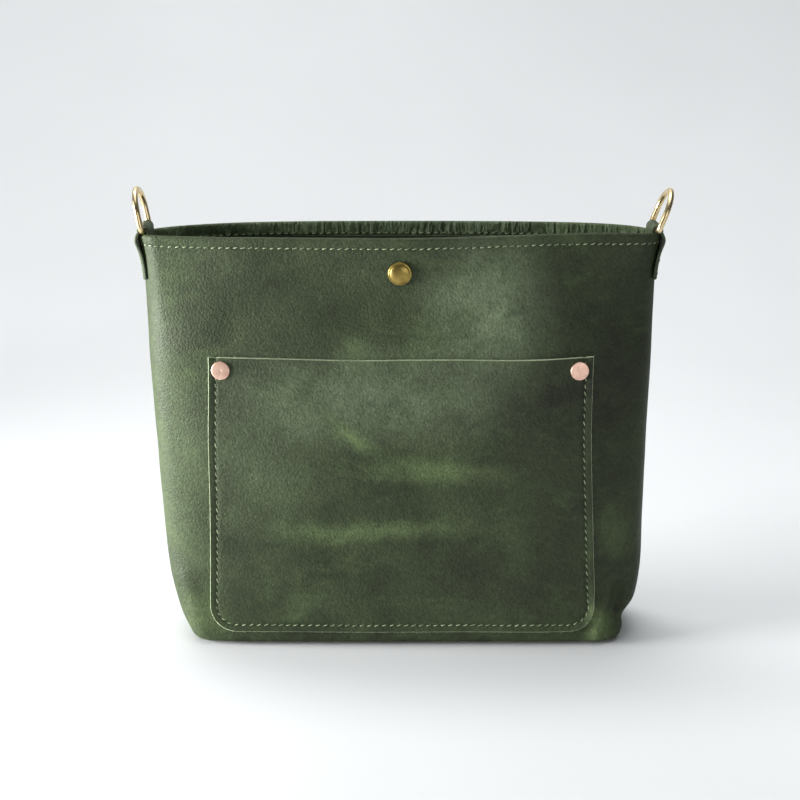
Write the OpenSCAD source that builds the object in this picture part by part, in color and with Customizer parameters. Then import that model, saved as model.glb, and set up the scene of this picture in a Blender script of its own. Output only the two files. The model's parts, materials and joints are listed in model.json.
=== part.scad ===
// Open-topped leather tote with a patch pocket, a press snap and two strap rings.
// Millimetres, +Z up, front towards -Y, origin under the middle of the base.

/* [Bag] */
// Width across the rim, from side seam to side seam
rim_w = 334; // [260:1:420]
// Height of the rim above the floor
bag_h = 272; // [220:1:340]
// Front-to-back opening of the mouth at its middle
mouth_d = 60; // [48:1:90]
// Front-to-back depth near the base
base_d = 76; // [62:1:110]
// Leather thickness
leather = 1.8; // [1.2:0.1:2.4]
// How far the rim flares out past the body, on each side
rim_flare = 3.8; // [0:0.2:8]
// Height over which the rim flares
flare_h = 32; // [20:1:50]
// How much narrower the body is at the base than under the flare, on each side
body_taper = 5; // [0:0.5:15]
// How far each boxed corner tucks in at the floor
corner_tuck = 13; // [4:0.5:20]
// Height over which the boxed corners tuck in
corner_h = 60; // [30:1:80]
// How far the bottom edges tuck under, front and back
edge_tuck = 6; // [2:0.5:10]
// Height over which the bottom edges tuck under
edge_h = 11; // [6:0.5:20]
// Height under the rim over which the front and back stand straight up
straight_h = 45; // [34:1:60]

/* [Rim] */
// Depth of the turned hem
hem_h = 10; // [8:0.5:16]
// Distance of the rim's stitch row below the rim
rim_stitch_drop = 7.2; // [5:0.1:7.8]

/* [Pocket] */
// Width of the pocket
pocket_w = 248; // [180:1:252]
// Height of the pocket
pocket_h = 186; // [120:1:190]
// Height of the pocket's bottom edge above the floor
pocket_z = 11; // [11:0.5:20]
// Radius of the pocket's bottom corners
pocket_r = 18; // [8:1:30]
// Distance of the pocket's stitch row from its edge
pocket_stitch_in = 4.6; // [3:0.1:6]

/* [Rivets] */
// Distance of each rivet from the pocket's side
rivet_in_x = 10; // [8:0.5:16]
// Distance of each rivet from the pocket's top edge
rivet_in_z = 8.5; // [7:0.5:14]
// Diameter of the rivet's head
rivet_head_d = 11.9; // [9:0.1:13]
// Thickness of the rivet's head
rivet_head_h = 1.3; // [0.8:0.1:1.8]
// Diameter of the rivet's shank
rivet_shank_d = 3.4; // [2.5:0.1:4]
// Diameter of the washer set inside the bag
burr_d = 9.5; // [8:0.1:12]
// Thickness of the washer
burr_h = 1; // [0.6:0.1:1.4]

/* [Snap] */
// Distance of the press snap below the rim
snap_drop = 21; // [20:0.5:26]
// Diameter of the snap's cap
cap_d = 15; // [12:0.1:17]
// Height of the snap's cap
cap_h = 3.2; // [2.4:0.1:4]
// Diameter of the snap's barrels
barrel_d = 4.2; // [3:0.1:5]
// Diameter of the socket and of the stud's flange
socket_d = 12.6; // [11:0.1:14]
// Height of the socket
socket_h = 3.8; // [3:0.1:4.5]
// Diameter of the stud's head
stud_d = 6.4; // [5:0.1:7]
// Height of the stud's head
stud_h = 3.4; // [2.6:0.1:4]
// Diameter of the post's flat back
post_d = 12; // [10:0.1:15]

/* [Rings] */
// Clear width inside each ring
ring_in_w = 25; // [20:0.5:30]
// Outer height of each ring
ring_out_h = 29; // [26:0.5:38]
// Diameter of the ring's wire
wire_d = 3.8; // [2.5:0.1:4.5]
// Outward lean of the left ring
lean_left = 10; // [0:1:25]
// Outward lean of the right ring
lean_right = 20; // [0:1:25]

/* [Tabs] */
// Width of each tab's strip
tab_w = 20; // [14:0.5:24]
// Thickness of the strip
tab_t = 1.7; // [1.2:0.1:2.2]
// Length of the outer leg below the rim
tab_drop = 29; // [24:0.5:36]
// Length of the inner leg below the rim
tab_drop_in = 22; // [14:0.5:28]
// How far the outer leg bulges off the rim
tab_bulge = 1.6; // [0:0.1:2.5]

/* [Thread] */
// Thickness of the sewing thread
thread_d = 0.8; // [0.5:0.1:1]

/* [Hidden] */

// Clearance between pieces that lie against each other without being joined
gap = 0.3;
// Roundness of the bag's plan at the rim and at the base, as superellipse powers
rim_power = 3;
base_power = 4;
// Steps across a panel and across the pocket
panel_steps = 32;
pocket_steps = 24;
// Sides of a thread
thread_sides = 6;

// Lower edge of the turned hem, and how softly it steps in from the wall
hem_z = bag_h - hem_h;
hem_edge = 1;
seam_z = bag_h - rim_stitch_drop;
snap_z = bag_h - snap_drop;
belly_z = bag_h / 4;
ring_r = ring_in_w / 2 + wire_d / 2;
ring_rise = ring_out_h - wire_d - ring_r;
bar_z = bag_h + wire_d / 2 + gap + 0.1;
loop_r = wire_d / 2 + gap;
bar_x = bag_half_w(bag_h) - 2 * leather - 1.1;
rivet_x = pocket_w / 2 - rivet_in_x;
rivet_z = pocket_z + pocket_h - rivet_in_z;

green = [0.20, 0.29, 0.17];
green_edge = [0.30, 0.40, 0.25];
pale_green = [0.45, 0.56, 0.38];
brass = [0.72, 0.58, 0.30];
copper = [0.78, 0.50, 0.40];

// ---------- the bag's outer surface ----------

function ease_out(t) = 1 - pow(1 - min(1, max(0, t)), 2);
function tuck(z, h) = pow(max(0, 1 - z / h), 2);

// Half the outer width at height z
function bag_half_w(z) =
    rim_w / 2
    - rim_flare * ease_out((bag_h - z) / flare_h)
    - body_taper * (bag_h - z) / bag_h
    - corner_tuck * tuck(z, corner_h);

// Half the outer depth at height z
function bag_half_d(z) =
    mouth_d / 2
    + (base_d - mouth_d) / 2
      * sin(90 * min(1, max(0, bag_h - straight_h - z) / (bag_h - straight_h - belly_z)))
    - edge_tuck * tuck(z, edge_h);

// Power of the superellipse plan at height z
function plan_power(z) =
    rim_power + (base_power - rim_power) * min(1, (bag_h - z) / (bag_h - belly_z));

// Point of the front surface, sunk by "inset", at angle a: 0 is the left seam, 180 the right
function skin(a, z, inset = 0) =
    let (n = plan_power(z), c = cos(a), s = sin(a))
    [
        -sign(c) * (bag_half_w(z) - inset) * pow(abs(c), 2 / n),
        -(bag_half_d(z) - inset) * pow(max(0, s), 2 / n),
        z
    ];

// Y of the front surface at x and z, sunk by "inset"
function skin_y(x, z, inset = 0) =
    let (n = plan_power(z), u = min(1, abs(x) / (bag_half_w(z) - inset)))
    -(bag_half_d(z) - inset) * pow(1 - pow(u, n), 1 / n);

// Heights of the rows that shape a panel between its base edge and its rim
function steps(low, high, count) = [for (k = [0:count - 1]) low + (high - low) * k / count];
panel_rows = concat(
    steps(0, edge_h, 4),
    steps(edge_h, corner_h, 4),
    steps(corner_h, bag_h - flare_h, 5),
    steps(bag_h - flare_h, hem_z, 3),
    [hem_z, hem_z + hem_edge, bag_h]
);

function panel_row(z, inset) =
    [for (k = [0:panel_steps]) skin(180 * k / panel_steps, z, inset)];

// ---------- solids made from rows of points ----------

// Triangles between row j and the next, for rows of m points
function band(j, m) = [
    for (i = [0:m - 2]) each [
        [j * m + i, j * m + i + 1, (j + 1) * m + i + 1],
        [j * m + i, (j + 1) * m + i + 1, (j + 1) * m + i]
    ]
];

function flipped(triangles) = [for (t = triangles) [t[0], t[2], t[1]]];
function shifted(triangles, by) = [for (t = triangles) [for (i = t) i + by]];

// Two triangles for the corners a, b, c and d
function quad(a, b, c, d) = [[a, b, c], [a, c, d]];

// Solid between a grid of face points and the grid of back points behind it. With "floor" the
// rows' first points and last points stand over a flat base, which is filled in.
module slab(face, back, floor = false) {
    m = len(face[0]);
    n = len(face);
    count = n * m;
    top = (n - 1) * m;
    sheet = [for (j = [0:n - 2]) each band(j, m)];
    top_edge = [
        for (i = [0:m - 2]) each quad(top + i, top + i + 1, count + top + i + 1, count + top + i)
    ];
    left_edge = [
        for (j = [0:n - 2]) each quad(j * m, (j + 1) * m, count + (j + 1) * m, count + j * m)
    ];
    right_edge = flipped(shifted(left_edge, m - 1));
    strip_edge = [for (i = [0:m - 2]) each quad(i + 1, i, count + i, count + i + 1)];
    filled_base = concat(
        [[for (i = [m - 1:-1:0]) i], [for (i = [0:m - 1]) count + i]],
        quad(0, count, count + m - 1, m - 1)
    );
    faces = concat(
        sheet, shifted(flipped(sheet), count),
        top_edge, left_edge, right_edge, floor ? filled_base : strip_edge
    );
    points = concat([for (r = face) each r], [for (r = back) each r]);
    polyhedron(points = points, faces = faces, convexity = 8);
}

// A loft through closed rings of m points each, closed at both ends
module loft(rings) {
    m = len(rings[0]);
    n = len(rings);
    sides = [
        for (j = [0:n - 2], i = [0:m - 1]) each [
            [j * m + i, j * m + (i + 1) % m, (j + 1) * m + (i + 1) % m],
            [j * m + i, (j + 1) * m + (i + 1) % m, (j + 1) * m + i]
        ]
    ];
    caps = [[for (i = [m - 1:-1:0]) i], [for (i = [0:m - 1]) (n - 1) * m + i]];
    polyhedron(points = [for (r = rings) each r], faces = concat(sides, caps), convexity = 8);
}

function unit(v) = v / norm(v);

// Ring of a thread at point p, running along d, with "out" pointing off the leather
function thread_ring(p, d, out) =
    let (b = unit(cross(d, out)), w = unit(cross(b, d)))
    [
        for (k = [0:thread_sides - 1])
        let (a = 360 * k / thread_sides)
        p + thread_d / 2 * (cos(a) * b + sin(a) * w)
    ];

// Thread along points, each with its outward direction
module thread(points, outs) {
    last = len(points) - 1;
    loft([
        for (k = [0:last])
        thread_ring(points[k], unit(points[min(last, k + 1)] - points[max(0, k - 1)]), outs[k])
    ]);
}

// ---------- panels ----------

// Front half of the shell: wall, half of the base and the turned hem
module half_shell() {
    outer = [for (z = panel_rows) panel_row(z, 0)];
    inner = [for (z = panel_rows) panel_row(max(z, leather), z > hem_z ? 2 * leather : leather)];
    slab(outer, inner, floor = true);
}

// Round hole through the front wall for the snap's barrel
module snap_hole() {
    at_snap() cylinder(h = mouth_d / 2, d = barrel_d + 2 * gap, center = true, $fn = 48);
}

module rivet_holes() {
    for (side = [-1, 1]) at_rivet(side)
        cylinder(h = base_d / 2, d = rivet_shank_d, center = true, $fn = 48);
}

module front_panel() {
    color(green) difference() {
        half_shell();
        snap_hole();
        rivet_holes();
    }
}

module back_panel() {
    color(green) mirror([0, 1, 0]) difference() {
        half_shell();
        snap_hole();
    }
}

// ---------- pocket ----------

// Half the pocket's width at height z, less "inset", with rounded bottom corners
function pocket_half_w(z, inset = 0) =
    let (r = pocket_r - inset, up = z - pocket_z - inset, w = pocket_w / 2 - inset)
    up >= r ? w : w - r + sqrt(max(0, r * r - pow(r - up, 2)));

function pocket_row_z() = concat(
    [for (k = [0:5]) pocket_z + pocket_r * (1 - cos(15 * k))],
    [for (k = [0:10]) pocket_z + pocket_r + (pocket_h - pocket_r) * k / 10]
);

// Row of the pocket, "off" outside the bag's surface
function pocket_row(z, off) = [
    for (k = [0:pocket_steps])
    let (x = pocket_half_w(z) * (2 * k / pocket_steps - 1))
    [x, skin_y(x, z) - off, z]
];

module pocket_panel() {
    face = [for (z = pocket_row_z()) pocket_row(z, gap + leather)];
    flesh = [for (z = pocket_row_z()) pocket_row(z, gap)];
    color(green) difference() {
        slab(face, flesh);
        rivet_holes();
    }
}

// ---------- rivets ----------

// Front's outer surface where the right rivet stands: its depth, and its way out of the bag
rivet_y = skin_y(rivet_x, rivet_z);
rivet_out = unit([
    (skin_y(rivet_x + 1, rivet_z) - skin_y(rivet_x - 1, rivet_z)) / 2,
    -1,
    (skin_y(rivet_x, rivet_z + 1) - skin_y(rivet_x, rivet_z - 1)) / 2
]);
// Thickness of the front there, square to its surface
rivet_wall = -rivet_out[1] * (skin_y(rivet_x, rivet_z, leather) - rivet_y);

// Frame on the front's outer surface at a rivet, with +Z pointing out of the bag
module at_rivet(side) {
    mirror([side < 0 ? 1 : 0, 0, 0]) translate([rivet_x, rivet_y, rivet_z])
        rotate([0, acos(rivet_out[2]), atan2(rivet_out[1], rivet_out[0])]) children();
}

// Flat head with a softened edge, and a shank peened over the washer
module pocket_rivet(side) {
    head_z = leather + 2 * gap;
    color(copper) at_rivet(side) rotate_extrude($fn = 64) {
        translate([0, head_z]) square([rivet_head_d / 2 - 0.4, rivet_head_h]);
        translate([0, head_z]) square([rivet_head_d / 2, rivet_head_h - 0.4]);
        translate([rivet_head_d / 2 - 0.4, head_z + rivet_head_h - 0.4])
            intersection() {
                circle(r = 0.4, $fn = 32);
                square(1);
            }
        translate([0, -rivet_wall - gap - burr_h - 0.5])
            square([rivet_shank_d / 2 - 0.05, head_z + rivet_wall + gap + burr_h + 0.6]);
    }
}

module pocket_burr(side) {
    color(copper) at_rivet(side) translate([0, 0, -rivet_wall - gap - burr_h])
        difference() {
            cylinder(h = burr_h, d = burr_d, $fn = 48);
            translate([0, 0, -1]) cylinder(h = burr_h + 2, d = rivet_shank_d + 0.1, $fn = 48);
        }
}

// ---------- press snap ----------

// Frame on the front's outer surface at the snap, with +Z pointing out of the bag
module at_snap() {
    translate([0, -mouth_d / 2, snap_z]) rotate([90, 0, 0]) children();
}

// Domed cap with a rolled rim and a barrel that goes through the front
module snap_cap() {
    rim = 0.9;
    dome_r = (pow(cap_d / 2, 2) + cap_h * cap_h) / (2 * cap_h);
    color(brass) at_snap() translate([0, 0, gap]) rotate_extrude($fn = 96) {
        intersection() {
            translate([0, cap_h - dome_r]) circle(r = dome_r, $fn = 128);
            square([cap_d / 2 - rim, cap_h]);
        }
        translate([cap_d / 2 - rim, rim]) intersection() {
            circle(r = rim, $fn = 48);
            translate([-rim, -rim]) square(2 * rim);
        }
        translate([0, -leather - 2 * gap]) square([barrel_d / 2, leather + 2 * gap + 0.5]);
    }
}

// Ring spring socket, open towards the inside of the bag
module snap_socket() {
    recess_d = stud_d + 0.8;
    color(brass) at_snap() translate([0, 0, -leather - gap - socket_h]) rotate_extrude($fn = 96)
        difference() {
            union() {
                square([socket_d / 2 - 0.8, socket_h]);
                translate([0, 0.8]) square([socket_d / 2, socket_h - 1.2]);
                translate([socket_d / 2 - 0.8, 0.8]) circle(r = 0.8, $fn = 48);
            }
            translate([0, -1]) square([recess_d / 2, socket_h - 0.2]);
        }
}

// Stud with a waisted head, seated inside the back
module snap_stud() {
    flange = 0.8;
    color(brass) mirror([0, 1, 0]) at_snap() translate([0, 0, -leather - gap - flange])
        rotate_extrude($fn = 96) {
            square([socket_d / 2, flange]);
            translate([0, -stud_h]) square([stud_d / 2 - 0.5, stud_h + 0.1]);
            translate([0, 1 - stud_h]) square([stud_d / 2 - 1, 1]);
            translate([stud_d / 2 - 0.8, 0.8 - stud_h]) circle(r = 0.8, $fn = 48);
        }
}

// Post with a flat back, outside the back, that carries the stud
module snap_post() {
    color(brass) mirror([0, 1, 0]) at_snap() translate([0, 0, gap]) rotate_extrude($fn = 96) {
        square([post_d / 2 - 0.4, 0.9]);
        square([post_d / 2, 0.5]);
        translate([post_d / 2 - 0.4, 0.5]) circle(r = 0.4, $fn = 32);
        translate([0, -leather - 2 * gap]) square([barrel_d / 2, leather + 2 * gap + 0.5]);
    }
}

// ---------- rings and tabs ----------

// D ring: straight bar at the origin along Y, bow above it
module d_ring() {
    rotate([90, 0, 0]) cylinder(h = 2 * ring_r, d = wire_d, center = true, $fn = 48);
    for (side = [-1, 1]) translate([0, side * ring_r, 0]) {
        sphere(d = wire_d, $fn = 48);
        cylinder(h = ring_rise, d = wire_d, $fn = 48);
    }
    translate([0, 0, ring_rise]) rotate([90, 0, 90])
        rotate_extrude(angle = 180, $fn = 96) translate([ring_r, 0]) circle(d = wire_d, $fn = 48);
}

module at_bar(side) {
    translate([side * bar_x, 0, bar_z]) children();
}

module left_ring() {
    color(brass) at_bar(-1) rotate([0, -lean_left, 0]) d_ring();
}

module right_ring() {
    color(brass) at_bar(1) rotate([0, lean_right, 0]) d_ring();
}

// X of the tab's outer leg at height z, on the face that lies against the bag
function leg_x(z) =
    bag_half_w(z) + gap
    + tab_bulge * pow(sin(180 * min(1, max(0, (bag_h + 1 - z) / (tab_drop * 0.6)))), 2);

// X of the tab's inner leg at height z, on the face that lies against the hem
function inner_leg_x(z) =
    let (n = plan_power(z), w = bag_half_w(z) - 2 * leather, d = bag_half_d(z) - 2 * leather)
    w * pow(1 - pow(tab_w / 2 / d, n), 1 / n) - 2 * gap;

// Outline of a leg that starts inside the loop's end on side "way", runs along "line"
// on the face that lies against the bag, and comes back a strip's thickness away
function leg_outline(line, way) =
    let (
        bite = 0.3,
        root = [bar_x + way * loop_r, bar_z],
        face = concat([root], line),
        back = [for (k = [len(face) - 1:-1:0]) face[k] + [way * tab_t, 0]]
    )
    concat([root + [way * bite, bite]], face, back, [root + [way * (tab_t - bite), bite]]);

// The strip on the right side: a loop round the bar and two legs, each drawn from the front
module right_strip() {
    top = bag_h + 0.6;
    outer = [for (k = [0:8]) let (z = top - (tab_drop + 0.6) * k / 8) [leg_x(z), z]];
    inner = [
        for (k = [0:4])
        let (z = top - (tab_drop_in + 0.6) * k / 4)
        [inner_leg_x(min(z, bag_h)), z]
    ];
    strip() translate([bar_x, bar_z]) difference() {
        circle(r = loop_r + tab_t, $fn = 64);
        circle(r = loop_r, $fn = 64);
        translate([-bar_x, -2 * bag_h]) square([2 * bar_x, 2 * bag_h]);
    }
    strip() polygon(leg_outline(outer, 1));
    strip() polygon(leg_outline(inner, -1));
}

// Outline in X and Z carried across the strip's width
module strip() {
    translate([0, tab_w / 2, 0]) rotate([90, 0, 0]) linear_extrude(tab_w) children();
}

module tab(side) {
    color(green_edge) mirror([side < 0 ? 1 : 0, 0, 0]) right_strip();
}

// ---------- threads ----------

// How far a thread's middle lies off the leather
thread_off = thread_d / 2 + 0.15;

module rim_thread() {
    steps = panel_steps * 3 / 4;
    angles = [for (k = [0:steps]) 22.5 + 135 * k / steps];
    thread([for (a = angles) skin(a, seam_z, -thread_off)], [for (a = angles) [0, -1, 0]]);
}

// Point of the pocket's stitch row at x and z, on the pocket's face
function pocket_stitch(x, z) = [x, skin_y(x, z) - gap - leather - thread_off, z];

module pocket_thread() {
    in = pocket_stitch_in;
    r = pocket_r - in;
    side_x = pocket_w / 2 - in;
    low_z = pocket_z + in;
    tall = pocket_h - in - r - rivet_in_z - rivet_head_d / 2 - 1;
    down = [for (k = [0:8]) pocket_stitch(-side_x, low_z + r + tall * (1 - k / 8))];
    turn = [
        for (k = [1:5])
        pocket_stitch(-side_x + r - r * cos(15 * k), low_z + r - r * sin(15 * k))
    ];
    left = concat(down, turn);
    bottom = [for (k = [0:18]) pocket_stitch((side_x - r) * (k / 9 - 1), low_z)];
    right = [for (k = [len(left) - 1:-1:0]) [-left[k][0], left[k][1], left[k][2]]];
    points = concat(left, bottom, right);
    color(pale_green) thread(points, [for (p = points) [0, -1, 0]]);
}

// Inside the bag, up a side seam
module seam_thread(side) {
    zs = [for (z = panel_rows) if (z > edge_h / 2 && z < hem_z) z];
    points = [for (z = zs) [side * (bag_half_w(z) - leather - thread_off), 0, z]];
    color(pale_green) thread(points, [for (z = zs) [side, 0, 0]]);
}

// Inside the bag, along the middle of the base
module base_seam_thread() {
    reach = bag_half_w(leather) - 12;
    z = leather + thread_off;
    color(pale_green) thread([[-reach, 0, z], [reach, 0, z]], [[0, 0, 1], [0, 0, 1]]);
}

// Inside the bag, across a boxed corner
module corner_thread(side) {
    reach = base_d / 4;
    z = leather + thread_off;
    x = side * (bag_half_w(leather) - 8);
    color(pale_green) thread([[x, -reach, z], [x, reach, z]], [[0, 0, 1], [0, 0, 1]]);
}

// Two rows across the outer leg of a tab
module tab_thread(side) {
    reach = tab_w / 2 - 3;
    for (drop = [tab_drop - 4, tab_drop - 12]) {
        z = bag_h - drop;
        x = side * (leg_x(z) + tab_t + thread_off);
        color(pale_green) thread([[x, -reach, z], [x, reach, z]], [[side, 0, 0], [side, 0, 0]]);
    }
}

front_panel();
back_panel();
pocket_panel();
tab(-1);  // left_tab
tab(1);  // right_tab
left_ring();
right_ring();
snap_cap();
snap_socket();
snap_stud();
snap_post();
pocket_rivet(-1);  // left_pocket_rivet
pocket_rivet(1);  // right_pocket_rivet
pocket_burr(-1);  // left_pocket_burr
pocket_burr(1);  // right_pocket_burr
color(pale_green) rim_thread();  // front_rim_thread
color(pale_green) mirror([0, 1, 0]) rim_thread();  // back_rim_thread
pocket_thread();
seam_thread(-1);  // left_seam_thread
seam_thread(1);  // right_seam_thread
base_seam_thread();
corner_thread(-1);  // left_corner_thread
corner_thread(1);  // right_corner_thread
tab_thread(-1);  // left_tab_thread
tab_thread(1);  // right_tab_thread
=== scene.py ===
# %% [markdown]
# # A leather tote bag, built around its CAD frame
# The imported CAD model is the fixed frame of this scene. It says how big the bag is, where each
# piece sits and which body carries it. Blender adds what the CAD leaves out: the slack of the
# leather, single stitches, raw edges, grain and light. Lengths are in millimetres until the last
# step of each piece, where `MM` turns them into Blender's metres.
# %% Load the frame
import bpy, json, math
import numpy as np
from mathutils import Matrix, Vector, noise


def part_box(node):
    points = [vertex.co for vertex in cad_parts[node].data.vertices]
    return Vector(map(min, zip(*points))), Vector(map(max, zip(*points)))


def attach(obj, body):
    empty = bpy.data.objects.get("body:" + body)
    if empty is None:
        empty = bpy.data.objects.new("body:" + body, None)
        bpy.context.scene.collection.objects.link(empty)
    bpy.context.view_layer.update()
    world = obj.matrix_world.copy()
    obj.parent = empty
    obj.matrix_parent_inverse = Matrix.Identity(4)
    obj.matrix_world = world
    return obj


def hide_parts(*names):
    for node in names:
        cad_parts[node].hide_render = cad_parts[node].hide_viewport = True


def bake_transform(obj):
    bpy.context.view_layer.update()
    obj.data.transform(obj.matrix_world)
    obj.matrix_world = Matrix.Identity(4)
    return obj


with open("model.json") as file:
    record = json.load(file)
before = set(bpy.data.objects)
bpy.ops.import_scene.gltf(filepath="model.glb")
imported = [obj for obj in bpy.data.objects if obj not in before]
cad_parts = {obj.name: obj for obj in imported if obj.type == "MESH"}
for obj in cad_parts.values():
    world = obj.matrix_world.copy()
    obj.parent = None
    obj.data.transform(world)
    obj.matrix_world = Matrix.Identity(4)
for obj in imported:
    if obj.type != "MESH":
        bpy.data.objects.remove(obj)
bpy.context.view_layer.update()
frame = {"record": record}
MM = 0.001
# %% [markdown]
# ## Camera
# The bag is seen from a step away and a little above its rim, square to the front. A 64 mm lens
# on a 36 mm sensor gives a mild perspective. The camera goes in first, so every later piece
# can be judged from the right place.
# %% Camera
camera = bpy.data.objects.new("camera", bpy.data.cameras.new("camera"))
camera.data.sensor_width = 36
camera.data.lens = 64.035
camera.location = (0, -0.900, 0.430)
camera.rotation_euler = (math.radians(90 - 16.7), 0, 0)
bpy.context.scene.collection.objects.link(camera)
bpy.context.scene.camera = camera
bpy.context.scene.view_settings.view_transform = "Standard"
# %% [markdown]
# ## Helpers for materials
# Colours are easiest to choose as sRGB hex values, as on a paint card, but a shader works in
# linear light, so one function converts them. Another adds a node with its settings and its
# links: an input given as a socket is linked, and anything else is set on the node's own input.
# A colour ramp also takes its stops there, as pairs of a position and a colour.
# %% Material helpers
def linear(hex_colour):
    """sRGB hex to the linear colour that shaders use"""
    parts = [int(hex_colour[i:i + 2], 16) / 255 for i in (0, 2, 4)]
    return (*[c / 12.92 if c <= 0.04045 else ((c + 0.055) / 1.055) ** 2.4 for c in parts], 1)
def add_node(material, kind, inputs=None, stops=(), **settings):
    """Adds a node, sets its settings and ramp stops, and sets or links its inputs"""
    made = material.node_tree.nodes.new("ShaderNode" + kind)
    for name, value in settings.items():
        setattr(made, name, value)
    for number, (position, colour) in enumerate(stops):
        bar = made.color_ramp.elements
        stop = bar[number] if number < 2 else bar.new(position)
        stop.position, stop.color = position, colour
    for name, value in (inputs or {}).items():
        if isinstance(value, bpy.types.NodeSocket):
            material.node_tree.links.new(value, made.inputs[name])
        else:
            made.inputs[name].default_value = value
    return made
def new_material(name):
    """An empty material with its principled shader, and the object's own coordinates"""
    material = bpy.data.materials.new(name)
    material.use_nodes = True
    material.node_tree.nodes.clear()
    shader = add_node(material, "BsdfPrincipled")
    add_node(material, "OutputMaterial", {"Surface": shader.outputs[0]})
    return material, shader, add_node(material, "TexCoord").outputs["Object"]
def dress(material, shader, links, **values):
    """Links patterns to the shader's inputs and sets its uniform values"""
    for name, socket in links.items():
        material.node_tree.links.new(socket, shader.inputs[name])
    for name, value in values.items():
        shader.inputs[name.replace("_", " ")].default_value = value
def per_mm(size):
    """Texture scale, in cells per metre, for a pattern whose cells are this many mm"""
    return 1000 / size
def grey(level):
    """A grey for ramps that make masks"""
    return (level, level, level, 1)
# %% [markdown]
# ## Leather, grain side
# The bag is oiled full-grain cowhide, dyed through in a dark forest green. Wax and oil sit in
# the hide, so where it is bent or pressed they move away and the colour turns lighter: this is
# called pull-up. Three things make it read as leather. Soft clouds of tone about 40 mm across
# come from the hide itself. Pale pull-up marks lie where it was folded or rubbed, and among them
# lie painted light and painted shade: a lighter side and lit folds towards the key light, a
# painted sheen, and darker tone where shade falls. A pebble grain and fine creases break the
# gloss: real cells are about 1.2 mm wide, and they are drawn at 1.5 mm so that they show. Wax
# gives a low, broad shine, so roughness stays between 0.5 and 0.65 and follows the tone.
# %% Pull-up marks, painted light and painted shade
def torn_edges(material, place):
    """Coordinates shaken by noise, and a patchy strength, so that no mark has a clean outline"""
    frayed = add_node(material, "TexNoise",
                      {"Vector": place, "Scale": per_mm(20), "Detail": 6.0, "Roughness": 0.7})
    shift = add_node(material, "VectorMath",
                     {0: frayed.outputs["Color"], 1: (0.5, 0.5, 0.5)}, operation="SUBTRACT")
    shift = add_node(material, "VectorMath",
                     {0: shift.outputs[0], "Scale": 0.022}, operation="SCALE")
    shaken = add_node(material, "VectorMath",
                      {0: place, 1: shift.outputs[0]}, operation="ADD").outputs[0]
    patchy = add_node(material, "MapRange",
                      {"Value": frayed.outputs["Fac"], "From Min": 0.35, "From Max": 0.65,
                       "To Min": 0.35, "To Max": 1.0}).outputs[0]
    return shaken, patchy
def pull_up_and_painted_light_mark(material, shaken, patchy, middle, reach, turn, strength):
    """An oval mask through the bag: middle and reach in mm as (x, z), turn in degrees"""
    moved = add_node(material, "VectorMath",
                     {0: shaken, 1: (middle[0] * MM, 0, middle[1] * MM)},
                     operation="SUBTRACT").outputs[0]
    moved = add_node(material, "Mapping",
                     {"Vector": moved, "Rotation": (0, math.radians(turn), 0)}).outputs[0]
    moved = add_node(material, "VectorMath",
                     {0: moved, 1: (per_mm(reach[0]), 0, per_mm(reach[1]))},
                     operation="MULTIPLY").outputs[0]
    ball = add_node(material, "TexGradient", {"Vector": moved},
                    gradient_type="SPHERICAL").outputs["Fac"]
    soft = add_node(material, "MapRange", {"Value": ball, "To Max": strength},
                    interpolation_type="SMOOTHSTEP").outputs[0]
    return add_node(material, "Math", {0: soft, 1: patchy},
                    operation="MULTIPLY").outputs[0]
# Marks on the leather, as (middle, reach, turn, colour, strength). First the broad ground: a
# lighter green painted along the left, where the side faces the key light; a painted sheen on
# the upper middle, further left and right of the snap; painted shade on the right, which faces
# away from the light, left of the snap and low down. Then the sharp pull-up bends across the
# pocket and beside its corners, painted highlights on the lit corner folds with painted shade
# in the right corner's crease, and last a painted shadow along the foot. They are placed by x
# and z for the front, and the back carries the same ones.
# The first colour is the pale pull-up tone of bent leather, and also painted light: the lighter
# green along the left side, which faces the key light, and painted highlights on the lit corner
# folds low on each side.
# The second colour is a painted sheen: a greyish lighter tone in broad patches, the largest right
# of the snap, where the front catches the key light.
# The third colour is painted shade: darker tone on the right, which faces away from the key light,
# left of the snap beside its hollow, low down, and in the right corner's crease.
pull_up_and_highlight, painted_sheen, painted_shade = "6b7e51", "758367", "1d1e16"
front_marks = [((-152, 140), (40, 200), 0, pull_up_and_highlight, 0.28), ((-15, 172), (130, 44), 0, painted_sheen, 0.58),
               ((-88, 140), (52, 95), 0, painted_sheen, 0.20), ((100, 168), (54, 60), -25, painted_shade, 1.0),
               ((56, 232), (60, 70), 0, painted_sheen, 0.72), ((-62, 238), (80, 40), 0, painted_shade, 0.40),
               ((138, 180), (40, 120), 0, painted_shade, 0.90), ((70, 42), (110, 44), 0, painted_shade, 0.50),
               ((-30, 147), (32, 8), -34, pull_up_and_highlight, 0.78), ((24, 123), (62, 12), -3, pull_up_and_highlight, 0.62),
               ((-18, 83), (96, 11), 2, pull_up_and_highlight, 0.56), ((-30, 201), (18, 16), 0, pull_up_and_highlight, 0.30),
               ((139, 82), (18, 32), 15, pull_up_and_highlight, 0.30), ((-131, 18), (28, 28), 0, pull_up_and_highlight, 0.35),
               ((133, 14), (14, 20), 0, pull_up_and_highlight, 0.95), ((147, 24), (8, 18), 12, painted_shade, 1.0),
               # painted shadow: a near-black band along the foot, where the wall rolls under
               # towards the floor
               ((0, 0), (260, 7), 0, "0d0e0a", 1.0)]
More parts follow.
